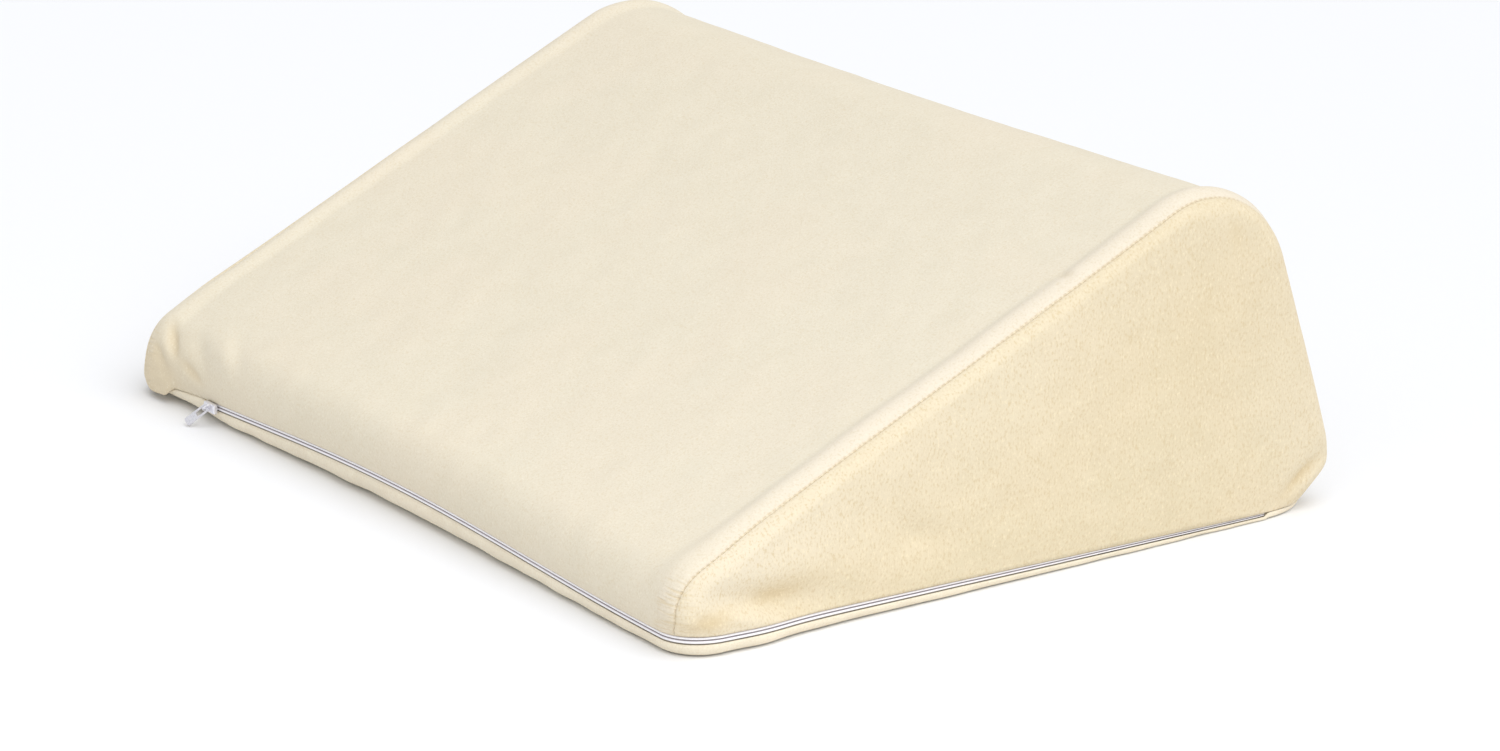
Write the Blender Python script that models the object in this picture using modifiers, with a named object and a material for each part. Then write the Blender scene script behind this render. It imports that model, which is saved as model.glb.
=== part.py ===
"""A wedge positioning pillow in a zipped pile-cloth cover, lying on its base.

+X runs along the low front edge, +Y from the low front to the tall back, +Z up.
The origin is under the middle of the pillow, on the surface that it lies on.
"""
import math

import bmesh
import bpy
import numpy as np
from mathutils import Matrix, Vector
from mathutils.kdtree import KDTree

# Whole pillow
WIDTH = 0.4316
HALF = WIDTH / 2
BACK_Y = 0.1695
HEIGHT = 0.1442

# The side outline is a belt round three rollers: its front lip, its ridge and its back
NOSE_Y = -0.1406
NOSE_Z = 0.0170
NOSE_RADIUS = 0.0213
RIDGE_Y = 0.0976
RIDGE_RADIUS = 0.0446
RIDGE_Z = HEIGHT - RIDGE_RADIUS
BULGE_RADIUS = 0.0312
BULGE_Y = BACK_Y - BULGE_RADIUS
BULGE_Z = 0.0235

# Height of the zip line, where the upper panels meet the base panel, at the front and the back
LIP_Z = 0.0091
BACK_LIP_Z = 0.0062

# Rounding of the belt's two ends, from the front zip line over the top to the back one:
# how far the outline moves in Y and Z, and how far the rounding reaches along X
END_ROUNDING = (
    # place, inset_y, inset_z, reach_x
    ("front zip", 0.0205, 0.0000, 0.0182),
    ("lip", 0.0096, 0.0000, 0.0118),
    ("slope start", 0.0091, -0.0049, 0.0088),
    ("low slope", 0.0009, -0.0059, 0.0116),
    ("slope end", 0.0000, -0.0060, 0.0070),
    ("ridge", 0.0000, -0.0080, 0.0090),
    ("back start", -0.0070, -0.0040, 0.0100),
    ("bulge", -0.0062, 0.0000, 0.0095),
    ("back zip", -0.0280, 0.0000, 0.0278),
)
LOW_SLOPE_RUN = 0.032

# Seams between the wrap panel and the side panels
SEAM_TURN = math.radians(25)
SEAM_GAP = 0.0004
BAND_WIDTH = 0.012
BAND_WIDTH_AT_LIP = 0.020
BAND_RISE = 0.0022
BAND_CREST = 0.55
BAND_SPREAD = 0.75
BAND_SPAN = 1.6
TOP_SAG = 0.0015

# The front edge is drawn in and lifted between the corners
DRAW_IN = 0.0019
DRAW_LIFT = 0.0057
DRAW_CENTRE_X = -0.006
DRAW_REACH = 0.220
DRAW_FADE = 0.085

# Drop of the cover's lower edge at the left front corner and the back ones
FRONT_LEFT_DROP = 0.0056
BACK_DROP = 0.0028
DROP_REACH = 0.060

# Soft hollows and humps of the side faces, seen square on
SIDE_RELIEF = (
    # y, z, half_length, half_height, rise, tilt in degrees
    (-0.118, 0.0215, 0.020, 0.0055, -0.0034, -11.0),
    (-0.110, 0.0330, 0.028, 0.0070, 0.0012, -13.0),
    (-0.134, 0.0160, 0.012, 0.0040, 0.0010, -15.0),
    (-0.052, 0.0325, 0.018, 0.0070, -0.0018, -33.0),
    (0.040, 0.0700, 0.070, 0.0350, 0.0016, 20.0),
    (0.151, 0.0150, 0.013, 0.0040, -0.0016, 38.0),
)
SIDE_TUCK = 0.0026
SIDE_TUCK_HEIGHT = 0.0114
SIDE_TUCK_RUN = 0.085

# Cloth and gaps
PANEL = 0.0012
BED = 0.0017
TRAY_GAP = 0.0004
RIM_SPREAD = 1.5
RIM_OVERHANG = math.radians(18)
GROOVE = 0.0036
LIP_STEP = 0.0001

# Zip: tapes, slider and pull
ZIP_START_X = -0.150
ZIP_HEIGHT = 0.0034
TAPE_GAP = 0.0003
TAPE_OUTER = 0.0006
TAPE_DEPTH = 0.0010
TAPE_CORNER = 0.0004
ZIP_FADE = 0.010

# Along the right side the zip sinks behind the cover's edge, down to a share of its height
ZIP_SINK_Y = -0.100
ZIP_SINK_SHARE = 0.5

# The zip ends past the back right corner's rounding
ZIP_END_Y = 0.140

# Distance from the zip line to the flat middle of the base panel
BASE_INSET = 0.0150
FLAT = 0.0001

# Zip slider: a plate over the zip (length, thickness, height) with a bail, an arch of wire, on it
SLIDER_SIZE = (0.0090, 0.0022, 0.0044)
SLIDER_BEVEL = 0.0006
SLIDER_GAP = 0.0006
BAIL_HALF_SPAN = 0.0022
BAIL_DEPTH = 0.0026
BAIL_WIRE = 0.00045
BAIL_RISE = 0.0003
BAIL_ROOT = 0.0006
BAIL_STEPS = 10

# Zip pull: a flat tab with a window, hung on the bail down towards the front left
PULL_ALONG = Vector((-0.545, -0.555, -0.628)).normalized()
PULL_ACROSS = Vector((PULL_ALONG.z, 0.0, -PULL_ALONG.x)).normalized()
PULL_LENGTH = 0.0125
PULL_WIDTH = 0.0038
PULL_THICKNESS = 0.0009
PULL_CORNER = 0.0009
PULL_RAIL = 0.0007
PULL_BAR = 0.0010
WINDOW_LENGTH = 0.0052
WINDOW_CORNER = 0.0004
PULL_HOLD = (0.0003, 0.00105)
CORNER_STEPS = 4

# Colours of the pieces
CREAM = (0.83, 0.76, 0.62)
WARM_CREAM = (0.84, 0.74, 0.54)
SAND = (0.70, 0.62, 0.46)
WHITE = (0.78, 0.77, 0.80)
SILVER = (0.66, 0.66, 0.68)

# Points closer than this are one
WELD = 0.00001

# A point in the middle of the filling
FILLING = Vector((0.0, 0.03, 0.04))

# Fineness of the grids
LIP_STEPS = 6
SLOPE_STEPS = 9
RIDGE_STEPS = 5
BACK_STEPS = 2
BULGE_STEPS = 4
TURN_STEPS = 4
BAND_SHARES = (0.0, 0.45, 0.9, 1.25)
MIDDLE_SHARES = (1.0, 0.84, 0.64, 0.42, 0.2, 0.0)


def tangent_angle(from_y, from_z, from_radius, to_y, to_z, to_radius):
    """Heading of the straight run that a belt takes over the tops of two rollers."""
    run = math.hypot(to_y - from_y, to_z - from_z)
    return math.atan2(to_z - from_z, to_y - from_y) + math.asin((to_radius - from_radius) / run)


SLOPE = tangent_angle(NOSE_Y, NOSE_Z, NOSE_RADIUS, RIDGE_Y, RIDGE_Z, RIDGE_RADIUS)
BACK_SLOPE = tangent_angle(RIDGE_Y, RIDGE_Z, RIDGE_RADIUS, BULGE_Y, BULGE_Z, BULGE_RADIUS)


def belt_breaks():
    """Where the belt changes between arcs and straight runs.

    Each break has its arc length, the heading of its outward normal, and its roller's
    centre and radius. On a straight run the centre and radius slide from one roller to the next.
    """
    front = math.pi + math.asin((NOSE_Z - LIP_Z) / NOSE_RADIUS)
    back = -math.asin((BULGE_Z - BACK_LIP_Z) / BULGE_RADIUS)
    slope = math.pi / 2 + SLOPE
    rear = math.pi / 2 + BACK_SLOPE
    normals = np.array([front, slope, slope, rear, rear, back])
    centre_y = np.array([NOSE_Y, NOSE_Y, RIDGE_Y, RIDGE_Y, BULGE_Y, BULGE_Y])
    centre_z = np.array([NOSE_Z, NOSE_Z, RIDGE_Z, RIDGE_Z, BULGE_Z, BULGE_Z])
    radius = np.array([NOSE_RADIUS, NOSE_RADIUS, RIDGE_RADIUS, RIDGE_RADIUS, BULGE_RADIUS, BULGE_RADIUS])
    y = centre_y + radius * np.cos(normals)
    z = centre_z + radius * np.sin(normals)
    straight = np.hypot(np.diff(y), np.diff(z))
    round_run = radius[:-1] * np.abs(np.diff(normals))
    lengths = np.where(np.abs(np.diff(normals)) > 0, round_run, straight)
    return np.concatenate([[0.0], np.cumsum(lengths)]), normals, centre_y, centre_z, radius


BREAKS, NORMALS, CENTRE_Y, CENTRE_Z, RADII = belt_breaks()
BELT_LENGTH = BREAKS[-1]


def belt(along):
    """Point (y, z) and outward normal (ny, nz) of the side outline at an arc length."""
    heading = np.interp(along, BREAKS, NORMALS)
    radius = np.interp(along, BREAKS, RADII)
    normal_y = np.cos(heading)
    normal_z = np.sin(heading)
    y = np.interp(along, BREAKS, CENTRE_Y) + radius * normal_y
    z = np.interp(along, BREAKS, CENTRE_Z) + radius * normal_z
    return y, z, normal_y, normal_z


def arc_place(start, end, heading):
    """Arc length at which the belt's normal points along a heading, on the arc between two breaks."""
    share = (heading - NORMALS[start]) / (NORMALS[end] - NORMALS[start])
    return BREAKS[start] + share * (BREAKS[end] - BREAKS[start])


ROUNDING_PLACES = (
    0.0,
    arc_place(0, 1, math.pi),
    BREAKS[1],
    BREAKS[1] + LOW_SLOPE_RUN,
    BREAKS[2],
    arc_place(2, 3, math.pi / 2),
    BREAKS[3],
    arc_place(4, 5, 0.0),
    BELT_LENGTH,
)


def eased(along, places, values):
    """Values at the places, joined by half cosine waves."""
    values = np.asarray(values)
    places = np.asarray(places)
    step = np.clip(np.searchsorted(places, along, side="right") - 1, 0, len(places) - 2)
    share = np.clip((along - places[step]) / (places[step + 1] - places[step]), 0.0, 1.0)
    weight = (1 - np.cos(math.pi * share)) / 2
    return values[step] + weight * (values[step + 1] - values[step])


def end_rounding(along):
    """Inset in Y, inset in Z and reach along X of the rounded end, at an arc length."""
    return tuple(eased(along, ROUNDING_PLACES, [row[column] for row in END_ROUNDING]) for column in (1, 2, 3))


def band_width(along):
    """Width of the raised seam band, widest at the front lip."""
    return eased(along, (0.0, BREAKS[1] + LOW_SLOPE_RUN, BELT_LENGTH), (BAND_WIDTH_AT_LIP, BAND_WIDTH, BAND_WIDTH))


def seam_x(along):
    """Distance of the seam line from the middle of the pillow."""
    reach = end_rounding(along)[2]
    return HALF - reach * (1 - math.sin(SEAM_TURN))


def bump(distance):
    """A smooth bump: 1 at 0, falling as half a cosine wave to 0 at 1."""
    return (1 + np.cos(math.pi * np.clip(np.abs(distance), 0.0, 1.0))) / 2


def draw_in(along, x):
    """Shift (y, z) of the front lip, drawn in between the corners, and of the corners that hang lower."""
    amount = bump((x - DRAW_CENTRE_X) / DRAW_REACH) * bump(along / DRAW_FADE)
    front_drop = FRONT_LEFT_DROP * bump((x + HALF) / DROP_REACH) * bump(along / DROP_REACH)
    back_drop = BACK_DROP * bump((HALF - np.abs(x)) / DROP_REACH) * bump((BELT_LENGTH - along) / DROP_REACH)
    return DRAW_IN * amount, DRAW_LIFT * amount - front_drop - back_drop


def seam_lift(along):
    """Share of the wrap panel's lift, which fades out at the front and back zip lines."""
    return np.clip(along / BREAKS[1], 0.0, 1.0) * np.clip((BELT_LENGTH - along) / BULGE_RADIUS, 0.0, 1.0)


def skin(along, x, turn, lift):
    """Outer face of the cover.

    The belt's point moves by its inset times (1 - cos turn), is lifted along its normal,
    and the front lip is drawn in.
    """
    y, z, normal_y, normal_z = belt(along)
    inset_y, inset_z, _ = end_rounding(along)
    shift_y, shift_z = draw_in(along, x)
    around = 1 - np.cos(turn)
    y = y + inset_y * around + normal_y * lift + shift_y
    z = z + inset_z * around + normal_z * lift + shift_z
    return np.stack(np.broadcast_arrays(x, y, z), axis=-1)


def wrap_skin(along, x):
    """Wrap panel at an arc length and a distance from the middle.

    It is lifted into a seam band at each end and sags a little between them.
    """
    reach = end_rounding(along)[2]
    turn = np.arcsin(np.clip((np.abs(x) - (HALF - reach)) / reach, 0.0, 1.0))
    inward = seam_x(along) - np.abs(x)
    band = BAND_RISE * bump((inward - BAND_CREST * band_width(along)) / (BAND_SPREAD * band_width(along)))
    return skin(along, x, turn, seam_lift(along) * (band - TOP_SAG * bump(x / HALF)))


def end_skin(along, turn, side):
    """Rounded end, from a turn of 0 on the belt to a quarter turn on the side face."""
    reach = end_rounding(along)[2]
    x = side * (HALF - reach * (1 - np.sin(turn)))
    past_seam = (turn - SEAM_TURN) / (math.pi / 2 - SEAM_TURN)
    band = BAND_RISE * bump(BAND_CREST / BAND_SPREAD) * bump(past_seam)
    return skin(along, x, turn, seam_lift(along) * (band - TOP_SAG * bump(x / HALF)))


def side_relief(points, side, share):
    """Move a share of the hollows, humps and zip tuck of the side face onto points, along X."""
    y = points[..., 1]
    z = points[..., 2]
    zip_z = np.interp(y, (NOSE_Y, BULGE_Y), (LIP_Z, BACK_LIP_Z))
    behind_corner = 1 - bump(np.clip(y - NOSE_Y, 0.0, None) / SIDE_TUCK_RUN)
    rise = -SIDE_TUCK * behind_corner * np.exp(-np.clip(z - zip_z, 0.0, None) / SIDE_TUCK_HEIGHT)
    for centre_y, centre_z, length, height, amount, tilt in SIDE_RELIEF:
        cos_tilt = math.cos(math.radians(tilt))
        sin_tilt = math.sin(math.radians(tilt))
        across = (y - centre_y) * cos_tilt + (z - centre_z) * sin_tilt
        up = (z - centre_z) * cos_tilt - (y - centre_y) * sin_tilt
        rise = rise + amount * np.exp(-((across / length) ** 2 + (up / height) ** 2) / 2)
    moved = points.copy()
    moved[..., 0] += side * share * rise
    return moved


def belt_places():
    """Arc lengths of the grid's rows, with steps shared out over each arc and run."""
    steps = (LIP_STEPS, SLOPE_STEPS, RIDGE_STEPS, BACK_STEPS, BULGE_STEPS)
    runs = [np.linspace(start, end, count, endpoint=False)
            for start, end, count in zip(BREAKS[:-1], BREAKS[1:], steps)]
    return np.concatenate(runs + [[BELT_LENGTH]])


PLACES = belt_places()
TOP_COLUMNS = SLOPE_STEPS + RIDGE_STEPS
WRAP_STATIONS = 2 * (len(BAND_SHARES) + len(MIDDLE_SHARES)) - 1


def wrap_grid():
    """Points of the wrap panel's face: stations along X by places along the belt."""
    edge = seam_x(PLACES)
    width = band_width(PLACES)
    outer = [edge - share * width for share in BAND_SHARES]
    inner = [share * (edge - BAND_SPAN * width) for share in MIDDLE_SHARES]
    right = outer + inner
    stations = [-x for x in right] + right[-2::-1]
    return np.array([wrap_skin(PLACES, x) for x in stations])


def coons(left, right, bottom, top):
    """Patch between four border curves: the two ruled sheets summed, less their corner sheet."""
    rise = np.linspace(0, 1, len(left))[:, None, None]
    across = np.linspace(0, 1, len(bottom))[None, :, None]
    ruled = (1 - across) * left[:, None] + across * right[:, None]
    stacked = (1 - rise) * bottom[None] + rise * top[None]
    corners = ((1 - rise) * ((1 - across) * bottom[0] + across * bottom[-1])
               + rise * ((1 - across) * top[0] + across * top[-1]))
    return ruled + stacked - corners


def end_grids(side, first_turn):
    """Grids of one end: the strip round its rounded edge and the patch of its side face."""
    quarter = math.pi / 2
    turns = [first_turn + (quarter - first_turn) * step / TURN_STEPS for step in range(TURN_STEPS + 1)]
    strip = np.array([end_skin(PLACES, turn, side) for turn in turns])
    rim = strip[-1]
    left = rim[:LIP_STEPS + 1]
    top = rim[LIP_STEPS:LIP_STEPS + TOP_COLUMNS + 1]
    right = rim[LIP_STEPS + TOP_COLUMNS:][::-1]
    across = np.linspace(0, 1, TOP_COLUMNS + 1)[:, None]
    bottom = (1 - across) * left[0] + across * right[0]
    patch = coons(left, right, bottom, top)
    share = np.array([np.sin(turn) - math.sin(SEAM_TURN) for turn in turns]) / (1 - math.sin(SEAM_TURN))
    share = np.broadcast_to(share.reshape(TURN_STEPS + 1, -1), strip.shape[:2])
    return side_relief(strip, side, share), side_relief(patch, side, 1.0)


def lay_grid(bm, points):
    """Lay a grid of quads over a table of points, rows by columns, and return its vertices by row."""
    rows, columns = points.shape[:2]
    made = bmesh.ops.create_grid(bm, x_segments=columns - 1, y_segments=rows - 1, size=1.0)
    table = [[None] * columns for _ in range(rows)]
    for vert in made["verts"]:
        column = round((vert.co.x + 1) / 2 * (columns - 1))
        row = round((vert.co.y + 1) / 2 * (rows - 1))
        vert.co = points[row, column]
        table[row][column] = vert
    return table


def weld(bm):
    """Join grids along their shared borders and turn all faces away from the filling."""
    bmesh.ops.remove_doubles(bm, verts=bm.verts, dist=WELD)
    bmesh.ops.dissolve_degenerate(bm, edges=bm.edges, dist=WELD)
    bmesh.ops.recalc_face_normals(bm, faces=bm.faces)
    facing = sum(face.calc_area() * face.normal.dot(face.calc_center_median() - FILLING) for face in bm.faces)
    if facing < 0:
        bmesh.ops.reverse_faces(bm, faces=bm.faces)
    bm.normal_update()


def sunk(grids, depth):
    """Grids that meet in one surface, moved inward by a depth along its normals."""
    bm = bmesh.new()
    for grid in grids:
        lay_grid(bm, grid)
    weld(bm)
    bm.verts.index_update()
    bm.verts.ensure_lookup_table()
    tree = KDTree(len(bm.verts))
    for vert in bm.verts:
        tree.insert(vert.co, vert.index)
    tree.balance()
    moved = []
    for grid in grids:
        flat = grid.reshape(-1, 3)
        normals = np.array([bm.verts[tree.find(point)[1]].normal for point in flat])
        moved.append((flat - depth * normals).reshape(grid.shape))
    bm.free()
    return moved


def hem_loop(wrap, right, left, with_corners):
    """Closed loop of zip line points, from the front left seam to the right and round.

    With corners, each seam's point is there twice: once on the wrap panel, once on the end.
    """
    first = 0 if with_corners else 1
    right_strip, right_patch = right
    left_strip, left_patch = left
    runs = [
        wrap[:, 0],
        right_strip[first:, 0],
        right_patch[0, 1:-1],
        right_strip[first:, -1][::-1],
        wrap[::-1, -1],
        left_strip[first:, -1],
        left_patch[0, 1:-1][::-1],
        left_strip[first:, 0][::-1],
    ]
    return np.concatenate(runs)


def closed(loop):
    """A loop with its first point again at its end."""
    return np.concatenate([loop, loop[:1]])


def plan_normals(loop):
    """Unit vectors in plan that point out of a counter-clockwise loop."""
    along = np.roll(loop, -1, axis=0) - np.roll(loop, 1, axis=0)
    out = np.stack([along[:, 1], -along[:, 0], np.zeros(len(loop))], axis=-1)
    return out / np.linalg.norm(out, axis=1, keepdims=True)


def zip_share(loop):
    """Share of the zip's height at each point: 1 from the slider round to the back right corner."""
    past_slider = np.clip((loop[:, 0] - ZIP_START_X + ZIP_FADE) / ZIP_FADE, 0.0, 1.0)
    before_back = np.clip((ZIP_END_Y - loop[:, 1]) / ZIP_FADE, 0.0, 1.0)
    return past_slider * before_back


def zip_height(loop):
    """Height of the zip that shows at each point."""
    return ZIP_HEIGHT * np.interp(loop[:, 1], (ZIP_SINK_Y, ZIP_END_Y), (1.0, ZIP_SINK_SHARE))


def rim_ring(loop, out, turn, depth):
    """Ring of the base panel's turned-up edge, a quarter ellipse in section, at a depth inside it."""
    rim_top = loop[:, 2] - TAPE_GAP - (zip_height(loop) - TAPE_GAP) * zip_share(loop)
    centre_z = rim_top / (1 + math.sin(RIM_OVERHANG))
    rim_width = RIM_SPREAD * centre_z
    inset = rim_width * (1 - math.cos(turn))
    height = centre_z * (1 - math.sin(turn))
    level = centre_z * math.cos(turn)
    upright = rim_width * math.sin(turn)
    size = np.hypot(level, upright)
    ring = loop - out * (inset + depth * level / size)[:, None]
    ring[:, 2] = height + depth * upright / size
    return ring


RIM_TURNS = (-RIM_OVERHANG, math.radians(15), math.radians(45), math.radians(70), math.pi / 2)


def add_object(name, mesh, colour, roughness, metallic=0.0):
    """Link a mesh as an object of the pillow, smooth shaded, in its own material."""
    material = bpy.data.materials.new(name)
    material.use_nodes = True
    shader = material.node_tree.nodes["Principled BSDF"]
    shader.inputs["Base Color"].default_value = (*colour, 1.0)
    shader.inputs["Roughness"].default_value = roughness
    shader.inputs["Metallic"].default_value = metallic
    mesh.materials.append(material)
    mesh.shade_smooth()
    mesh.set_sharp_from_angle(angle=math.radians(50))
    piece = bpy.data.objects.new(name, mesh)
    PILLOW.objects.link(piece)
    return piece


def finish_mesh(bm, name):
    """Weld a bmesh into a mesh."""
    weld(bm)
    mesh = bpy.data.meshes.new(name)
    bm.to_mesh(mesh)
    bm.free()
    return mesh


def close_border(bm):
    """Close the one open border with a single flat face."""
    bmesh.ops.remove_doubles(bm, verts=bm.verts, dist=WELD)
    border = [edge for edge in bm.edges if edge.is_boundary]
    bmesh.ops.edgeloop_fill(bm, edges=border)


def build_cushion(wrap, ends, hem):
    """Wrap panel over its filling: one solid with beds for the side panels and a foot in the base panel."""
    right_bed, left_bed = (sunk(end, BED) for end in ends)
    bm = bmesh.new()
    lay_grid(bm, wrap)
    for bed, edge in ((right_bed, wrap[-1]), (left_bed, wrap[0])):
        lay_grid(bm, np.array([edge, bed[0][0]]))
        lay_grid(bm, bed[0])
        lay_grid(bm, bed[1])
    last = len(wrap) - 1
    corner_repeats = np.ones(len(hem), dtype=int)
    back_right = last + TURN_STEPS + TOP_COLUMNS - 1 + TURN_STEPS + 1
    corner_repeats[[0, last, back_right, back_right + last]] = 2
    border = np.concatenate([hem_loop(wrap, right_bed, left_bed, True), wrap[:1, 0]])
    repeat = np.repeat(np.arange(len(hem)), corner_repeats)
    # the loop of the border starts on the wrap panel and ends on the left bed's corner
    repeat = np.concatenate([repeat[1:], repeat[:1], repeat[1:2]])
    out = plan_normals(hem)
    groove = hem - out * GROOVE
    groove[:, 2] -= LIP_STEP
    rings = [groove] + [rim_ring(hem, out, turn, PANEL + TRAY_GAP) for turn in RIM_TURNS]
    lay_grid(bm, np.array([border] + [ring[repeat] for ring in rings]))
    close_border(bm)
    return add_object("wedge_cushion", finish_mesh(bm, "wedge_cushion"), CREAM, 0.9)


def build_side_panel(name, side):
    """Pile cloth over one end, its edge a little inside the seam line."""
    reach = end_rounding(PLACES)[2]
    strip, patch = end_grids(side, SEAM_TURN + SEAM_GAP / reach)
    bm = bmesh.new()
    lay_grid(bm, strip)
    lay_grid(bm, patch)
    panel = add_object(name, finish_mesh(bm, name), WARM_CREAM, 0.9)
    add_thickness(panel)
    return panel


def add_thickness(panel):
    """Give an open surface the cloth's thickness, on its inner side."""
    solidify = panel.modifiers.new("cloth", "SOLIDIFY")
    solidify.thickness = PANEL
    solidify.offset = -1.0


def build_base_panel(hem):
    """Pile cloth under the cushion, turned up round its edge to the zip."""
    out = plan_normals(hem)
    rings = [rim_ring(hem, out, turn, 0.0) for turn in RIM_TURNS]
    inner = hem - out * BASE_INSET
    inner[:, 2] = 0.0
    bm = bmesh.new()
    lay_grid(bm, np.array([closed(ring) for ring in rings + [inner]]))
    bmesh.ops.remove_doubles(bm, verts=bm.verts, dist=WELD)
    hollow = [edge for edge in bm.edges if edge.is_boundary and edge.verts[0].co.z < FLAT and edge.verts[1].co.z < FLAT]
    bmesh.ops.edgeloop_fill(bm, edges=hollow)
    panel = add_object("base_panel", finish_mesh(bm, "base_panel"), SAND, 0.9)
    add_thickness(panel)
    return panel


def zip_path(hem):
    """The part of the zip line that the zip covers, with its outward vectors."""
    out = plan_normals(hem)
    keep = zip_share(hem) >= 1.0
    return hem[keep], out[keep]


def build_tape(name, hem, place):
    """One zip tape edge: a rounded bar along the zip line, at a place 0 or 1 down from the upper panels."""
    path, out = zip_path(hem)
    tape_height = (zip_height(path) - 3 * TAPE_GAP) / 2
    top = path[:, 2] - TAPE_GAP - place * (TAPE_GAP + tape_height)
    section = (
        # inset from the cover's face, depth below the tape's upper side as a share of its height
        (TAPE_OUTER, 2 / 3),
        (TAPE_OUTER, 1 / 3),
        (TAPE_OUTER + TAPE_CORNER, 0.0),
        (TAPE_OUTER + TAPE_DEPTH, 0.0),
        (TAPE_OUTER + TAPE_DEPTH, 1.0),
        (TAPE_OUTER + TAPE_CORNER, 1.0),
    )
    rows = []
    for inset, share in section + section[:1]:
        row = path - out * inset
        row[:, 2] = top - share * tape_height
        rows.append(row)
    bm = bmesh.new()
    lay_grid(bm, np.array(rows))
    bmesh.ops.remove_doubles(bm, verts=bm.verts, dist=WELD)
    border = [edge for edge in bm.edges if edge.is_boundary]
    bmesh.ops.holes_fill(bm, edges=border, sides=len(section))
    return add_object(name, finish_mesh(bm, name), WHITE, 0.6)


def zip_start(hem):
    """Middle of the zip's height on the zip line, where the slider stands."""
    front = hem[:WRAP_STATIONS]
    y, z = (np.interp(ZIP_START_X, front[:, 0], front[:, axis]) for axis in (1, 2))
    return Vector((ZIP_START_X, y, z - ZIP_HEIGHT / 2))


def mesh_from_curve(curve):
    """Mesh of a curve at its place, its caps welded; the curve goes."""
    evaluated = curve.evaluated_get(bpy.context.evaluated_depsgraph_get())
    mesh = bpy.data.meshes.new_from_object(evaluated)
    mesh.transform(curve.matrix_basis)
    bpy.data.objects.remove(curve)
    bm = bmesh.new()
    bm.from_mesh(mesh)
    bmesh.ops.remove_doubles(bm, verts=bm.verts, dist=WELD)
    bmesh.ops.recalc_face_normals(bm, faces=bm.faces)
    bm.to_mesh(mesh)
    bm.free()
    return mesh


def add_curve(name, dimensions, loops, cyclic):
    """Curve object with one straight-segment spline for each loop of points."""
    data = bpy.data.curves.new(name, "CURVE")
    data.dimensions = dimensions
    for loop in loops:
        spline = data.splines.new("POLY")
        spline.points.add(len(loop) - 1)
        for point, place in zip(spline.points, loop):
            point.co = (*place, 1.0)
        spline.use_cyclic_u = cyclic
    curve = bpy.data.objects.new(name, data)
    CUTTERS.objects.link(curve)
    return curve


def bail_place(start, along, outward):
    """Point in the bail's plane: along the plate and outward from its front face."""
    bail_along = Vector((PULL_ACROSS.z, 0.0, -PULL_ACROSS.x))
    face_y = start.y - SLIDER_GAP - SLIDER_SIZE[1]
    return Vector((start.x, face_y - outward, start.z + BAIL_RISE)) + along * bail_along


def build_slider(start):
    """Bevelled plate with the bail's half ellipse of wire united to it."""
    angles = [math.pi * step / BAIL_STEPS for step in range(BAIL_STEPS + 1)]
    arch = [bail_place(start, BAIL_HALF_SPAN * math.cos(angle), BAIL_DEPTH * math.sin(angle)) for angle in angles]
    roots = [bail_place(start, side * BAIL_HALF_SPAN, -BAIL_ROOT) for side in (1, -1)]
    wire = add_curve("bail_wire", "3D", [[roots[0]] + arch + [roots[1]]], False)
    wire.data.bevel_depth = BAIL_WIRE
    wire.data.bevel_resolution = 2
    wire.data.use_fill_caps = True
    bail = bpy.data.objects.new("bail", mesh_from_curve(wire))
    CUTTERS.objects.link(bail)
    bail.hide_render = True
    bail.display_type = "WIRE"
    bm = bmesh.new()
    bmesh.ops.create_cube(bm, size=1.0)
    bmesh.ops.scale(bm, vec=SLIDER_SIZE, verts=bm.verts)
    bmesh.ops.bevel(bm, geom=bm.edges[:], offset=SLIDER_BEVEL, segments=2, affect="EDGES", profile=0.5)
    bmesh.ops.translate(bm, vec=start - Vector((0.0, SLIDER_GAP + SLIDER_SIZE[1] / 2, 0.0)), verts=bm.verts)
    mesh = bpy.data.meshes.new("zip_slider")
    bm.to_mesh(mesh)
    bm.free()
    slider = add_object("zip_slider", mesh, SILVER, 0.35, 1.0)
    union = slider.modifiers.new("bail", "BOOLEAN")
    union.operation = "UNION"
    union.solver = "EXACT"
    union.object = bail


def rounded_rectangle(start, length, width, corner):
    """Outline in the pull's plane that begins at a distance along it, its corners rounded as arcs."""
    centres = (
        # along, across, first angle
        (start + length - corner, width / 2 - corner, 0.0),
        (start + corner, width / 2 - corner, math.pi / 2),
        (start + corner, corner - width / 2, math.pi),
        (start + length - corner, corner - width / 2, 3 * math.pi / 2),
    )
    outline = []
    for along, across, first in centres:
        for step in range(CORNER_STEPS + 1):
            angle = first + math.pi / 2 * step / CORNER_STEPS
            outline.append((along + corner * math.cos(angle), across + corner * math.sin(angle), 0.0))
    return outline


def build_pull(start):
    """Flat tab whose window's bar lies inside the bail."""
    tab = rounded_rectangle(-PULL_BAR / 2, PULL_LENGTH, PULL_WIDTH, PULL_CORNER)
    window = rounded_rectangle(PULL_BAR / 2, WINDOW_LENGTH, PULL_WIDTH - 2 * PULL_RAIL, WINDOW_CORNER)
    outline = add_curve("pull_outline", "2D", [tab, window[::-1]], True)
    outline.data.fill_mode = "BOTH"
    outline.data.extrude = PULL_THICKNESS / 2
    columns = Matrix((PULL_ALONG, PULL_ACROSS, PULL_ALONG.cross(PULL_ACROSS))).transposed()
    outline.matrix_basis = Matrix.Translation(bail_place(start, *PULL_HOLD)) @ columns.to_4x4()
    add_object("zip_pull", mesh_from_curve(outline), SILVER, 0.35, 1.0)


def clear_scene():
    """Remove the scene's objects."""
    for item in list(bpy.data.objects):
        bpy.data.objects.remove(item)


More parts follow.
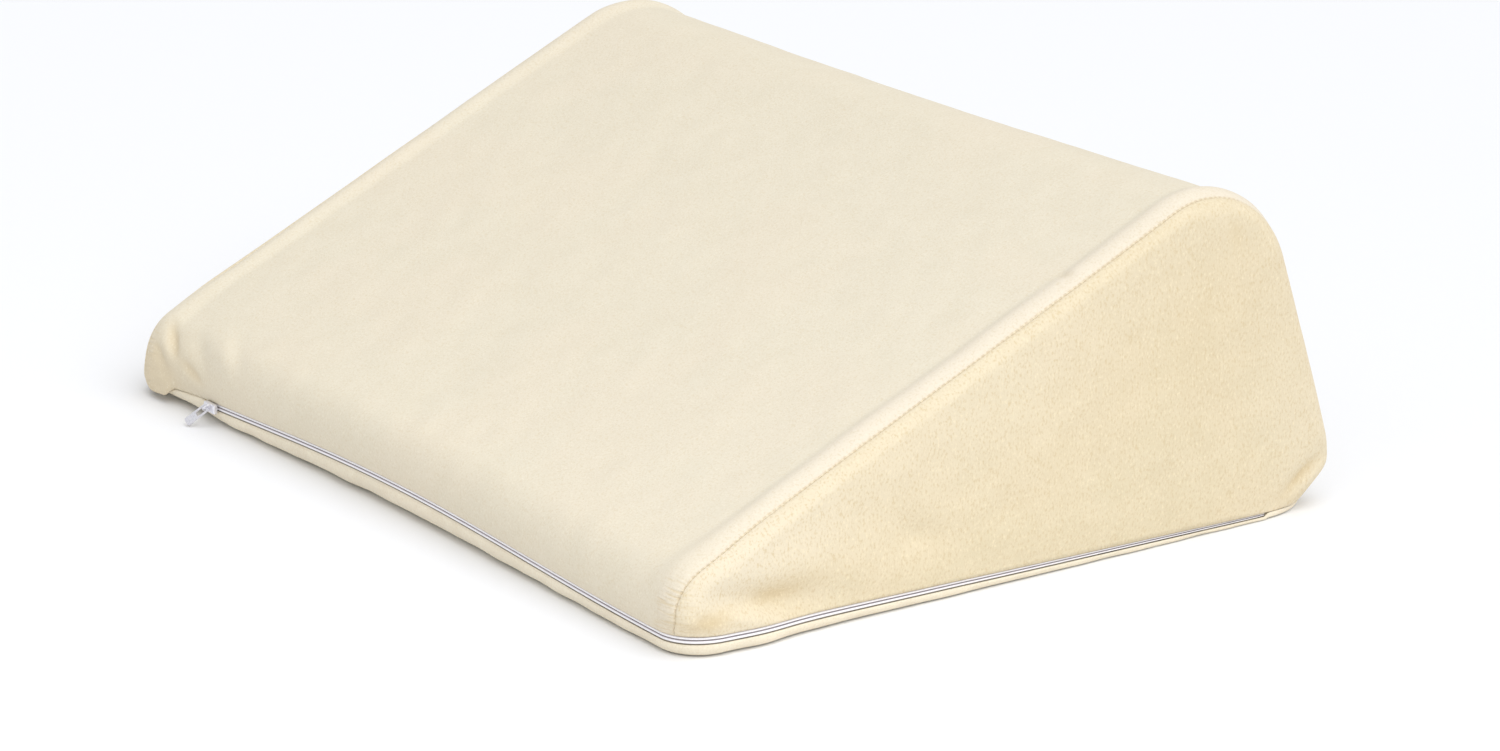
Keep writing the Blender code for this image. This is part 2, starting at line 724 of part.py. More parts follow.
def build_pillow():
    """All the pieces of the pillow."""
    wrap = wrap_grid()
    ends = (end_grids(1, SEAM_TURN), end_grids(-1, SEAM_TURN))
    hem = hem_loop(wrap, *ends, False)
    build_cushion(wrap, ends, hem)
    build_side_panel("side_panel_right", 1)
    build_side_panel("side_panel_left", -1)
    build_base_panel(hem)
    build_tape("zip_tape_upper", hem, 0)
    build_tape("zip_tape_lower", hem, 1)
    start = zip_start(hem)
    build_slider(start)
    build_pull(start)


clear_scene()
PILLOW = bpy.data.collections.new("wedge_pillow")
CUTTERS = bpy.data.collections.new("pillow_cutters")
for collection in (PILLOW, CUTTERS):
    bpy.context.scene.collection.children.link(collection)
build_pillow()
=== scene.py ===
"""Finished look of a wedge positioning pillow in a zipped cover of short cream pile.

The cloth pieces and the zip tapes are surfaces worked out from the pillow's own sizes, in metres, in the
part's frame: +X along the low front edge, +Y from the low front to the tall back, +Z up. The zip's slider
and its pull are the solids themselves, in a metal finish.
"""
import math

import bmesh
import bpy
import numpy as np
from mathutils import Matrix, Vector


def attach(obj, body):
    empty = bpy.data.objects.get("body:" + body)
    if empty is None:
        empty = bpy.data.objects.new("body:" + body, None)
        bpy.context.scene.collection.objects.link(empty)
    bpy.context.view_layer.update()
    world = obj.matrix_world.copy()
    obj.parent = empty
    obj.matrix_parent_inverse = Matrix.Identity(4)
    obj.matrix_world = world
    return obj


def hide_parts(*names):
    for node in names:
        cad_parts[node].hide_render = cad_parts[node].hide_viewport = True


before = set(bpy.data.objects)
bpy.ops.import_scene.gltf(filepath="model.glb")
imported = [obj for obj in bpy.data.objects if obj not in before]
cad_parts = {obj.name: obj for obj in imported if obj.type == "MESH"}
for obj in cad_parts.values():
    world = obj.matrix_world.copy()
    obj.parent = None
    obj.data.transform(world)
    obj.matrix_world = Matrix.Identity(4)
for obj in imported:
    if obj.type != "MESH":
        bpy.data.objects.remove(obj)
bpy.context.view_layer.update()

# Camera: where it looks, from which side, how far off, its lens and sensor in millimetres, its range
CAMERA_AIM = Vector((0.0157, 0.0108, 0.0347))
CAMERA_AZIMUTH = math.radians(54.83)
CAMERA_ELEVATION = math.radians(17.34)
CAMERA_DISTANCE = 2.1615
CAMERA_LENS = 120.69
CAMERA_SENSOR = 36.0
CAMERA_RANGE = 50.0

# Soft light: the white room all round, a wide soft light high up on the right and a weak lamp in front
ROOM_COLOUR = (0.985, 0.99, 1.0)
ROOM_STRENGTH = 0.62
KEY_TOWARDS = Vector((0.50, 0.10, 0.86))
KEY_STRENGTH = 1.65
KEY_SPREAD = math.radians(70)
FILL_PLACE = Vector((0.55, -0.55, 0.60))
FILL_SIZE = 0.5
FILL_WATTS = 1.15
FLOOR_SIZE = 12.0
FLOOR_COLOUR = (0.905, 0.915, 0.940)
FLOOR_ROUGHNESS = 0.9

# Whole pillow
WIDTH = 0.4316
HALF = WIDTH / 2
BACK_Y = 0.1695
HEIGHT = 0.1442

# Side outline: a belt round three rollers, the front lip, the ridge and the back
NOSE_Y = -0.1406
NOSE_Z = 0.0170
NOSE_RADIUS = 0.0213
RIDGE_Y = 0.0976
RIDGE_RADIUS = 0.0446
RIDGE_Z = HEIGHT - RIDGE_RADIUS
BULGE_RADIUS = 0.0312
BULGE_Y = BACK_Y - BULGE_RADIUS
BULGE_Z = 0.0235
LIP_Z = 0.0091
BACK_LIP_Z = 0.0062

# Rounding of the belt's two ends, from the front zip line over the top to the back one
END_ROUNDING = (
    # place, inset_y, inset_z, reach_x
    ("front zip", 0.0205, 0.0000, 0.0182),
    ("lip", 0.0096, 0.0000, 0.0118),
    ("slope start", 0.0091, -0.0049, 0.0088),
    ("low slope", 0.0009, -0.0059, 0.0116),
    ("slope end", 0.0000, -0.0060, 0.0070),
    ("ridge", 0.0000, -0.0080, 0.0090),
    ("back start", -0.0070, -0.0040, 0.0100),
    ("bulge", -0.0085, 0.0000, 0.0120),
    ("back zip", -0.0280, 0.0000, 0.0278),
)
LOW_SLOPE_RUN = 0.032

# Seams and their raised bands
SEAM_TURN = math.radians(25)
SEAM_GAP = 0.0001
BAND_WIDTH = 0.012
BAND_WIDTH_AT_LIP = 0.020
BAND_RISE = 0.0022
BAND_CREST = 0.55
BAND_SPREAD = 0.75
BAND_SPAN = 1.6
TOP_SAG = 0.0015
SEAM_DIP = 0.0007
SEAM_DIP_REACH = 0.0008
HEM_FADE = 0.006

# The front edge is drawn in and lifted between the corners, and the cover hangs lower at three corners
DRAW_IN = 0.0019
DRAW_LIFT = 0.0057
DRAW_CENTRE_X = -0.006
DRAW_REACH = 0.220
DRAW_FADE = 0.085
FRONT_LEFT_DROP = 0.0030
BACK_DROP = 0.0028
DROP_REACH = 0.060

# There its lower edge rolls out and down over the base panel
CORNER_ROLLS = (
    # side, end, full, fade, outward, down, height
    (-1, -1, 0.025, 0.009, 0.0018, 0.0070, 0.018),
    (1, 1, 0.020, 0.036, 0.0003, 0.0020, 0.013),
    (-1, 1, 0.020, 0.036, 0.0003, 0.0020, 0.013),
)
ROLL_TUCK = 0.0011
ROLL_CENTRE = 0.030

# Soft hollows and humps of the side faces
SIDE_RELIEF = (
    # y, z, half_length, half_height, rise, tilt in degrees
    (-0.118, 0.0185, 0.020, 0.0044, -0.0036, -11.0),
    (-0.110, 0.0300, 0.028, 0.0070, 0.0012, -13.0),
    (-0.130, 0.0125, 0.014, 0.0030, 0.0014, -15.0),
    (-0.052, 0.0325, 0.018, 0.0070, -0.0018, -33.0),
    (0.040, 0.0700, 0.070, 0.0350, 0.0016, 20.0),
    (0.151, 0.0150, 0.013, 0.0040, -0.0016, 38.0),
)
SIDE_TUCK = 0.0026
SIDE_TUCK_HEIGHT = 0.0114
SIDE_TUCK_RUN = 0.085
UNEVEN_ABOVE_ZIP = 0.008

# Unevenness: how many plane waves, the spread of their lengths, then rows of height, wavelength and seed
RIPPLE_WAVES = 14
RIPPLE_LENGTHS = (0.7, 1.5)
WRAP_UNEVEN = ((0.00040, 0.075, 11), (0.00014, 0.022, 12))
SIDE_UNEVEN = ((0.0004, 0.060, 21), (0.00018, 0.018, 22))

# The cover lies taut over the ridge
RIDGE_TAUT = 0.75
RIDGE_TAUT_REACH = 0.060

# Gathers near the lip, drawn out along the belt
LIP_GATHER_HEIGHT = 0.00030
LIP_GATHER_REACH = 0.075
LIP_GATHER_DRAWN_OUT = 0.15
LIP_GATHER_WAVELENGTH = 0.018
LIP_GATHER_SEED = 13

# Creases of the wrap panel: puckers down to the slider, the corner's gathers, a pucker of the right band
WRAP_CREASES = (
    # x, along, x, along, half_width, height
    (-0.207, 0.021, -0.182, 0.007, 0.0021, -0.0013),
    (-0.201, 0.023, -0.177, 0.009, 0.0023, 0.0010),
    (-0.203, 0.033, -0.177, 0.011, 0.0024, -0.0019),
    (-0.182, 0.017, -0.153, 0.005, 0.0022, -0.0014),
    (-0.188, 0.036, -0.142, 0.005, 0.0055, -0.0016),
    (-0.162, 0.034, -0.128, 0.012, 0.0050, 0.0010),
    (-0.162, 0.044, -0.122, 0.014, 0.0042, -0.0008),
    (-0.205, 0.0060, -0.181, 0.0068, 0.0011, -0.0007),
    (-0.205, 0.0095, -0.183, 0.0100, 0.0011, -0.0006),
    (0.194, 0.2330, 0.210, 0.2330, 0.0022, -0.0009),
)

# Creases of the side panels, seen square on
SIDE_CREASES = (
    # y, z, y, z, half_width, height
    (0.138, 0.006, 0.164, 0.026, 0.0024, -0.0017),
    (0.144, 0.003, 0.167, 0.021, 0.0024, 0.0009),
    (0.108, 0.104, 0.082, 0.074, 0.0035, -0.0006),
    (0.078, 0.079, 0.142, 0.078, 0.0035, -0.0006),
    (0.106, 0.138, 0.114, 0.118, 0.0030, -0.0006),
    (-0.157, 0.021, -0.146, 0.009, 0.0034, -0.0016),
    (-0.134, 0.0200, -0.100, 0.0180, 0.0028, -0.0012),
    (-0.142, 0.0140, -0.118, 0.0135, 0.0026, 0.0009),
    (-0.060, 0.0330, -0.030, 0.0260, 0.0040, -0.0009),
    (-0.030, 0.026, 0.020, 0.040, 0.0060, -0.0006),
)

# Painted tan shade on the pile where shade falls: in the creases, and in soft spots at the corners, along
# the lip and on the sides
FOLD_DEPTH = 0.0018
FOLD_WIDTH = 0.0032
WRAP_SHADE_SPOTS = (
    # x, along, half_x, half_along, share
    (-0.204, 0.004, 0.020, 0.013, 0.85),
    (-0.185, 0.006, 0.034, 0.020, 0.40),
    (0.000, 0.000, 1.000, 0.018, 0.22),
    (0.209, 0.004, 0.008, 0.008, 0.45),
)
SIDE_SHADE_SPOTS = (
    # y, z, half_y, half_z, share
    (-0.149, 0.0150, 0.010, 0.0045, 1.00),
    (-0.112, 0.0235, 0.024, 0.0050, 0.35),
    (0.158, 0.0075, 0.014, 0.0025, 0.40),
    (0.100, 0.1050, 0.070, 0.0500, 0.30),
)

# Cloth and gaps
PANEL = 0.0012
BED = 0.0017
TRAY_GAP = 0.0004
RIM_SPREAD = 1.5
RIM_OVERHANG = math.radians(18)
RIM_TURNS = tuple(math.radians(turn) for turn in (-18, -8, 2, 14, 28, 42, 56, 68, 80, 90))
# The cushion's foot has rings at every third turn of the base panel's edge
FOOT_TURNS = RIM_TURNS[::3]
RIM_SWAY = 0.0005
RIM_SWAY_WAVELENGTH = 0.030
RIM_SWAY_SEED = 31
RIM_LIFT = 0.0028
RIM_LIFT_REACH = 0.105
BASE_MARGIN = 0.006
GROOVE = 0.0036
LIP_STEP = 0.0001

# Zip
ZIP_START_X = -0.150
ZIP_HEIGHT = 0.0034
TAPE_GAP = 0.0003
TAPE_OUTER = 0.0004
TAPE_BULGE = 0.0006
TAPE_DEPTH = 0.0010
TAPE_RIB = 0.0008
TAPE_SECTION_STEPS = 10
TAPE_END_SHARE = 0.66
ZIP_FADE = 0.010
ZIP_END_FADE = 0.0015
ZIP_SINK_Y = -0.100
ZIP_SINK_SHARE = 0.5
ZIP_END_Y = 0.1350

# Fineness of the grids; the lip's steps equal those of the back and the bulge together
LIP_STEPS = 36
SLOPE_STEPS = 140
RIDGE_STEPS = 34
BACK_STEPS = 18
BULGE_STEPS = 18
TURN_STEPS = 10
TOP_COLUMNS = SLOPE_STEPS + RIDGE_STEPS
BAND_STEPS = 26
CLOSE_UP = 1.6
TURN_CLOSE_UP = 1.3
MIDDLE_STEPS = 86

# Points closer than this become one
WELD = 0.00001

# Seam chart value well away from any seam
FAR = 0.5

# A point inside the pillow, to tell outward from inward
INSIDE = np.array([0.0, 0.03, 0.04])

# Noises of the finishes: features for each metre and detail, and how two of them are stretched
NOISE_ROUGHNESS = 0.6
CLOUDS = (11.0, 2.0)
MOTTLE = (70.0, 4.0)
FLECKS = (1050.0, 2.0)
TUFTS = (1900.0, 1.0)
GATHERS = (850.0, 1.0)
WEAVE = (1800.0, 2.0)
SCRATCHES = (900.0, 3.0)
GATHER_STRETCH = (0.07, 1.0, 1.0)
SCRATCH_STRETCH = (1.0, 4.0, 1.0)

# Values of a noise between which its effect comes in
CLOUD_SPAN = (0.45, 0.60)
MOTTLE_SPAN = (0.34, 0.66)
DARK_FLECK_SPAN = (0.50, 0.30)
PALE_FLECK_SPAN = (0.56, 0.74)
GATHER_TROUGHS = (0.52, 0.40)
GATHER_CRESTS = (0.40, 0.85)
WEAVE_SPAN = (0.25, 0.55)
SCRATCH_SPAN = (0.3, 0.6)

# Bumps: strength and distance
PLEAT_BUMP = (0.8, 0.0008)
STITCH_HOLE_BUMP = (0.4, 0.0004)
MOTTLE_BUMP = (0.25, 0.0010)
FLECK_BUMP = (0.35, 0.0003)
TUFT_BUMP = (0.30, 0.0002)
RIB_BUMP = (0.3, 0.0001)
WEAVE_BUMP = (0.2, 0.0001)
SCRATCH_BUMP = (0.15, 0.0001)

# Seam finish: stitches, where the seam band's painted highlight grows and how much of it each side has, and
# where the gathers lie
STITCH_PITCH = 0.0026
STITCH_LINE = (0.00065, 0.00020)
STITCH_LINE_SHARE = 0.65
STITCH_HOLE_SPAN = (0.00045, 0.00075)
THREAD = (0.80, 0.70, 0.50)
STITCH_HOLE = (0.68, 0.55, 0.36)
BAND_RUN = (0.030, 0.120)
LEFT_TO_RIGHT_HIGHLIGHT = (0.2, 1.0)
GATHER_END = (0.032, 0.015)
GATHER_REACH = (0.0125, 0.0070)

# Painted highlight on the raised band beside the seam, also on the gathers' crests: colour, where it fades,
# share at the lip and gain past it, share of the gathers
WRAP_BAND_HIGHLIGHT = ((0.812, 0.732, 0.606), (0.0135, 0.0085), 0.25, 0.50, 1.0)
SIDE_BAND_HIGHLIGHT = ((0.796, 0.708, 0.545), (0.0700, 0.0060), 1.10, -0.65, 0.35)

# Piles: light and deep colour, stretch of the tufts, share of the flecks and seam finish with its painted
# highlight
WRAP_PILE = ((0.785, 0.722, 0.585), (0.762, 0.698, 0.560), (1.0, 1.0, 1.0), 0.52, WRAP_BAND_HIGHLIGHT)
SIDE_PILE = ((0.778, 0.680, 0.486), (0.738, 0.640, 0.446), (1.0, 1.0, 0.6), 0.75, SIDE_BAND_HIGHLIGHT)
BASE_PILE = ((0.875, 0.800, 0.640), (0.815, 0.735, 0.580), (1.0, 1.0, 1.0), 0.4)

# Tints and shares of the piles' clouds, painted fold shade and flecks, and how the piles shine
CLOUD_TINT = (1.015, 0.985, 0.975)
CLOUD_SHARE = 0.35
SHADE_TINT = (0.95, 0.88, 0.77)
SHADE_STRENGTH = 0.85
FLECK_TINT = (0.92, 0.86, 0.76)
PALE_FLECK_GAIN = 1.12
PALE_FLECK_MOST = 0.95
PILE_ROUGHNESS = (0.84, 0.97)
PILE_SPECULAR = 0.12
SHEEN_WEIGHT = 0.14
SHEEN_ROUGHNESS = 0.5
SHEEN_TINT = (1.0, 0.97, 0.91)

# Zip finishes; the tape's lilac grey edge is painted shade
TAPE_EDGE_SHADE = (0.56, 0.51, 0.54)
TAPE_DEEP = (0.88, 0.865, 0.895)
TAPE_LIGHT = (0.955, 0.94, 0.965)
TAPE_CROWN_SPAN = (0.06, 0.22)
TAPE_ROUGHNESS = 0.5
METAL_DEEP = (0.72, 0.71, 0.78)
METAL_LIGHT = (0.90, 0.90, 0.94)
METAL_ROUGHNESS = (0.22, 0.42)
METALLIC = 0.6

# Colour sockets of the Mix node, whose names its number and vector sockets share
MIX_LOW = 6
MIX_HIGH = 7
MIX_RESULT = 2


def tangent_angle(from_y, from_z, from_radius, to_y, to_z, to_radius):
    """Heading of the straight run that a belt takes over the tops of two rollers."""
    run = math.hypot(to_y - from_y, to_z - from_z)
    return math.atan2(to_z - from_z, to_y - from_y) + math.asin((to_radius - from_radius) / run)


def belt_breaks():
    """Arc lengths, normal headings, roller centres and radii where arcs and straight runs meet."""
    slope = math.pi / 2 + tangent_angle(NOSE_Y, NOSE_Z, NOSE_RADIUS, RIDGE_Y, RIDGE_Z, RIDGE_RADIUS)
    rear = math.pi / 2 + tangent_angle(RIDGE_Y, RIDGE_Z, RIDGE_RADIUS, BULGE_Y, BULGE_Z, BULGE_RADIUS)
    front = math.pi + math.asin((NOSE_Z - LIP_Z) / NOSE_RADIUS)
    back = -math.asin((BULGE_Z - BACK_LIP_Z) / BULGE_RADIUS)
    normals = np.array([front, slope, slope, rear, rear, back])
    centre_y = np.array([NOSE_Y, NOSE_Y, RIDGE_Y, RIDGE_Y, BULGE_Y, BULGE_Y])
    centre_z = np.array([NOSE_Z, NOSE_Z, RIDGE_Z, RIDGE_Z, BULGE_Z, BULGE_Z])
    radius = np.array([NOSE_RADIUS, NOSE_RADIUS, RIDGE_RADIUS, RIDGE_RADIUS, BULGE_RADIUS, BULGE_RADIUS])
    y = centre_y + radius * np.cos(normals)
    z = centre_z + radius * np.sin(normals)
    turned = np.abs(np.diff(normals))
    lengths = np.where(turned > 0, radius[:-1] * turned, np.hypot(np.diff(y), np.diff(z)))
    return np.concatenate([[0.0], np.cumsum(lengths)]), normals, centre_y, centre_z, radius


BREAKS, NORMALS, CENTRE_Y, CENTRE_Z, RADII = belt_breaks()
BELT_LENGTH = BREAKS[-1]


def belt(along):
    """Side outline at an arc length: roller centre plus radius times normal, all read between the breaks."""
    heading = np.interp(along, BREAKS, NORMALS)
    radius = np.interp(along, BREAKS, RADII)
    normal_y = np.cos(heading)
    normal_z = np.sin(heading)
    y = np.interp(along, BREAKS, CENTRE_Y) + radius * normal_y
    z = np.interp(along, BREAKS, CENTRE_Z) + radius * normal_z
    return y, z, normal_y, normal_z


def arc_place(start, end, heading):
    """Arc length where the belt's normal points along a heading, between two breaks."""
    share = (heading - NORMALS[start]) / (NORMALS[end] - NORMALS[start])
    return BREAKS[start] + share * (BREAKS[end] - BREAKS[start])


RIDGE_PLACE = arc_place(2, 3, math.pi / 2)
ROUNDING_PLACES = (
    0.0,
    arc_place(0, 1, math.pi),
    BREAKS[1],
    BREAKS[1] + LOW_SLOPE_RUN,
    BREAKS[2],
    RIDGE_PLACE,
    BREAKS[3],
    arc_place(4, 5, 0.0),
    BELT_LENGTH,
)


def eased(along, places, values):
    """Values at the places, joined by half cosine waves."""
    values = np.asarray(values)
    places = np.asarray(places)
    step = np.clip(np.searchsorted(places, along, side="right") - 1, 0, len(places) - 2)
    share = np.clip((along - places[step]) / (places[step + 1] - places[step]), 0.0, 1.0)
    weight = (1 - np.cos(math.pi * share)) / 2
    return values[step] + weight * (values[step + 1] - values[step])


def end_rounding(along):
    """Inset in Y, inset in Z and reach along X of the rounded end, at an arc length."""
    _, *columns = zip(*END_ROUNDING)
    return tuple(eased(along, ROUNDING_PLACES, column) for column in columns)


def bump(distance):
    """A smooth bump: 1 at 0, falling as half a cosine wave to 0 at 1."""
    return (1 + np.cos(math.pi * np.clip(np.abs(distance), 0.0, 1.0))) / 2


def ripple(u, v, wavelength, seed):
    """Unevenness between about -1 and 1: seeded plane waves of one rough length, summed."""
    chance = np.random.default_rng(seed)
    total = 0.0
    for _ in range(RIPPLE_WAVES):
        heading = chance.uniform(0, math.pi)
        length = wavelength * chance.uniform(*RIPPLE_LENGTHS)
        phase = chance.uniform(0, 2 * math.pi)
        run = u * math.cos(heading) + v * math.sin(heading)
        total = total + np.sin(2 * math.pi * run / length + phase)
    return total / math.sqrt(RIPPLE_WAVES / 2) / 2


def unevenness(u, v, rows):
    """Ripples summed, each by its height, wavelength and seed."""
    return sum(height * ripple(u, v, wavelength, seed) for height, wavelength, seed in rows)


def creases(u, v, rows):
    """Soft troughs and ridges along short lines: each is its height times a bell across and a bump along."""
    total = np.zeros(np.broadcast(u, v).shape)
    for start_u, start_v, end_u, end_v, half_width, height in rows:
        run_u = end_u - start_u
        run_v = end_v - start_v
        length = math.hypot(run_u, run_v)
        share = ((u - start_u) * run_u + (v - start_v) * run_v) / length ** 2
        across = ((v - start_v) * run_u - (u - start_u) * run_v) / length
        total = total + height * np.exp(-(across / half_width) ** 2) * bump(2 * share - 1)
    return total


def band_width(along):
    """Width of the raised seam band, widest at the front lip."""
    places = (0.0, BREAKS[1] + LOW_SLOPE_RUN, BELT_LENGTH)
    return eased(along, places, (BAND_WIDTH_AT_LIP, BAND_WIDTH, BAND_WIDTH))


def seam_x(along):
    """Distance of the seam line from the middle of the pillow."""
    return HALF - end_rounding(along)[2] * (1 - math.sin(SEAM_TURN))


def draw_in(along, x):
    """Shift (y, z) of the front lip, drawn in between the corners, and of the corners that hang lower."""
    amount = bump((x - DRAW_CENTRE_X) / DRAW_REACH) * bump(along / DRAW_FADE)
    front_drop = FRONT_LEFT_DROP * bump((x + HALF) / DROP_REACH) * bump(along / DROP_REACH)
    back_drop = BACK_DROP * bump((HALF - np.abs(x)) / DROP_REACH) * bump((BELT_LENGTH - along) / DROP_REACH)
    return DRAW_IN * amount, DRAW_LIFT * amount - front_drop - back_drop


def seam_lift(along):
    """Share of the wrap panel's lift, which fades out at the front and back zip lines."""
    return np.clip(along / BREAKS[1], 0.0, 1.0) * np.clip((BELT_LENGTH - along) / BULGE_RADIUS, 0.0, 1.0)


def clear_of_hem(along):
    """Share of creases and of the seam's dip: nothing at the two zip lines, whole a little way from them."""
    front = np.clip(1 - along / HEM_FADE, 0.0, None)
    back = np.clip(1 - (BELT_LENGTH - along) / HEM_FADE, 0.0, None)
    return bump(front) * bump(back)


def skin(along, x, turn, lift):
    """Outer face: the belt's point, inset by 1 - cos turn, lifted along its normal and drawn in."""
    y, z, normal_y, normal_z = belt(along)
    inset_y, inset_z, _ = end_rounding(along)
    shift_y, shift_z = draw_in(along, x)
    around = 1 - np.cos(turn)
    y = y + inset_y * around + normal_y * lift + shift_y
    z = z + inset_z * around + normal_z * lift + shift_z
    return np.stack(np.broadcast_arrays(x, y, z), axis=-1)


def rounding_turn(along, x):
    """How far round the end a point of the wrap panel lies, as a turn."""
    reach = end_rounding(along)[2]
    return np.arcsin(np.clip((np.abs(x) - (HALF - reach)) / reach, 0.0, 1.0))


def wrap_relief(along, x):
    """Height of the wrap panel's own unevenness: soft waves and the lip's gathers."""
    off_ridge = 1 - RIDGE_TAUT * bump((along - RIDGE_PLACE) / RIDGE_TAUT_REACH)
    waves = off_ridge * unevenness(x, along, WRAP_UNEVEN)
    near_lip = bump(along / LIP_GATHER_REACH)
    gathered = ripple(x, along * LIP_GATHER_DRAWN_OUT, LIP_GATHER_WAVELENGTH, LIP_GATHER_SEED)
    return waves + LIP_GATHER_HEIGHT * near_lip * gathered


def wrap_skin(along, x):
    """Wrap panel: lifted into a seam band at each end, rolled down into the seam, uneven in between."""
    inward = seam_x(along) - np.abs(x)
    width = band_width(along)
    band = BAND_RISE * bump((inward - BAND_CREST * width) / (BAND_SPREAD * width))
    dip = SEAM_DIP * np.exp(-np.clip(inward, 0.0, None) / SEAM_DIP_REACH)
    lift = seam_lift(along) * (band - TOP_SAG * bump(x / HALF) + wrap_relief(along, x))
    lift = lift + clear_of_hem(along) * (creases(x, along, WRAP_CREASES) - dip)
    return skin(along, x, rounding_turn(along, x), lift)


def end_skin(along, turn, side):
    """Rounded end, from a turn of 0 on the belt to a quarter turn on the side face."""
    reach = end_rounding(along)[2]
    x = side * (HALF - reach * (1 - np.sin(turn)))
    past_seam = np.clip((turn - SEAM_TURN) / (math.pi / 2 - SEAM_TURN), 0.0, 1.0)
    band = BAND_RISE * bump(BAND_CREST / BAND_SPREAD) * bump(past_seam)
    dip = SEAM_DIP * np.exp(-(turn - SEAM_TURN) * reach / SEAM_DIP_REACH)
    lift = seam_lift(along) * (band - TOP_SAG * bump(x / HALF)) - clear_of_hem(along) * dip
    return skin(along, x, turn, lift)


def shade_and_highlight_chart(u, v, rows, spots, highlight_share):
    """Chart of the painted tan shade and of the share of the seam band's painted highlight.

    The painted shade is the narrow creases' depth over a full fold's, plus a bell for each spot.
    """
    narrow = [row for row in rows if row[4] < FOLD_WIDTH]
    tone = np.clip(-creases(u, v, narrow) / FOLD_DEPTH, 0.0, 1.0)
    for spot_u, spot_v, half_u, half_v, share in spots:
        tone = tone + share * np.exp(-((u - spot_u) / half_u) ** 2 - ((v - spot_v) / half_v) ** 2)
    return np.stack([np.clip(tone, 0.0, 1.0), np.broadcast_to(highlight_share, tone.shape)], axis=-1)


def side_relief(points, side, share):
    """Move a share of the hollows, humps, creases and zip tuck of the side face onto points, along X."""
    y = points[..., 1]
    z = points[..., 2]
    zip_z = np.interp(y, (NOSE_Y, BULGE_Y), (LIP_Z, BACK_LIP_Z))
    behind_corner = 1 - bump(np.clip(y - NOSE_Y, 0.0, None) / SIDE_TUCK_RUN)
    rise = -SIDE_TUCK * behind_corner * np.exp(-np.clip(z - zip_z, 0.0, None) / SIDE_TUCK_HEIGHT)
    for centre_y, centre_z, length, height, amount, tilt in SIDE_RELIEF:
        cos_tilt = math.cos(math.radians(tilt))
        sin_tilt = math.sin(math.radians(tilt))
        across = (y - centre_y) * cos_tilt + (z - centre_z) * sin_tilt
        up = (z - centre_z) * cos_tilt - (y - centre_y) * sin_tilt
        rise = rise + amount * np.exp(-((across / length) ** 2 + (up / height) ** 2) / 2)
    above_zip = 1 - np.exp(-np.clip(z - zip_z, 0.0, None) / UNEVEN_ABOVE_ZIP)
    rise = rise + above_zip * (unevenness(y, z, SIDE_UNEVEN) + creases(y, z, SIDE_CREASES))
    moved = points.copy()
    moved[..., 0] += side * share * rise
    return moved


def hang(points, above):
    """Roll the cover out and down at its hanging corners.

    Each corner's share is whole up to a plan distance and fades over another, times a bump of the
    height above the zip line, times a quick rise from nothing at the zip line itself.
    """
    moved = points.copy()
    height = np.clip(above, 0.0, None)
    for side, end, full, fade, outward, down, span in CORNER_ROLLS:
        corner = np.array([side * HALF, BACK_Y if end > 0 else NOSE_Y - NOSE_RADIUS])
        centre = corner - ROLL_CENTRE * np.array([side, end])
        distance = np.linalg.norm(points[..., :2] - corner, axis=-1)
        near = bump(np.clip(distance - full, 0.0, None) / fade)
        share = near * bump(height / span) * (1 - np.exp(-height / ROLL_TUCK))
        away = points[..., :2] - centre
        away = away / np.maximum(np.linalg.norm(away, axis=-1, keepdims=True), WELD)
        moved[..., :2] += outward * share[..., None] * away
        moved[..., 2] -= down * share
    return moved


def above_hem(grid):
    """Height of a belt grid's points above the zip line nearer to them, at the belt's front or back end."""
    return grid[..., 2] - np.where(grid[..., 1] < 0, grid[:, :1, 2], grid[:, -1:, 2])


def belt_places():
    """Arc lengths of the grid's rows, with steps shared out over each arc and run."""
    steps = (LIP_STEPS, SLOPE_STEPS, RIDGE_STEPS, BACK_STEPS, BULGE_STEPS)
    runs = [np.linspace(start, end, count, endpoint=False)
            for start, end, count in zip(BREAKS[:-1], BREAKS[1:], steps)]
    return np.concatenate(runs + [[BELT_LENGTH]])


PLACES = belt_places()


def wrap_stations():
    """The wrap grid's stations along X at each place: close together in the bands, wider between."""
    edge = seam_x(PLACES)
    width = BAND_SPAN * band_width(PLACES)
    shares = np.linspace(0, 1, BAND_STEPS, endpoint=False) ** CLOSE_UP
    outer = [edge - share * width for share in shares]
    inner = [share * (edge - width) for share in np.linspace(1, 0, MIDDLE_STEPS)]
    right = np.array(outer + inner)
    return np.concatenate([-right, right[-2::-1]])


def wrap_grid():
    """Points of the wrap panel's face: stations along X by places along the belt."""
    grid = wrap_skin(PLACES[None, :], wrap_stations())
    return hang(grid, above_hem(grid))


def coons(left, right, bottom, top):
    """Patch between four border curves: the two ruled sheets summed, less their corner sheet."""
    rise = np.linspace(0, 1, len(left))[:, None, None]
    across = np.linspace(0, 1, len(bottom))[None, :, None]
    ruled = (1 - across) * left[:, None] + across * right[:, None]
    stacked = (1 - rise) * bottom[None] + rise * top[None]
    corners = ((1 - rise) * ((1 - across) * bottom[0] + across * bottom[-1])
               + rise * ((1 - across) * top[0] + across * top[-1]))
    return ruled + stacked - corners


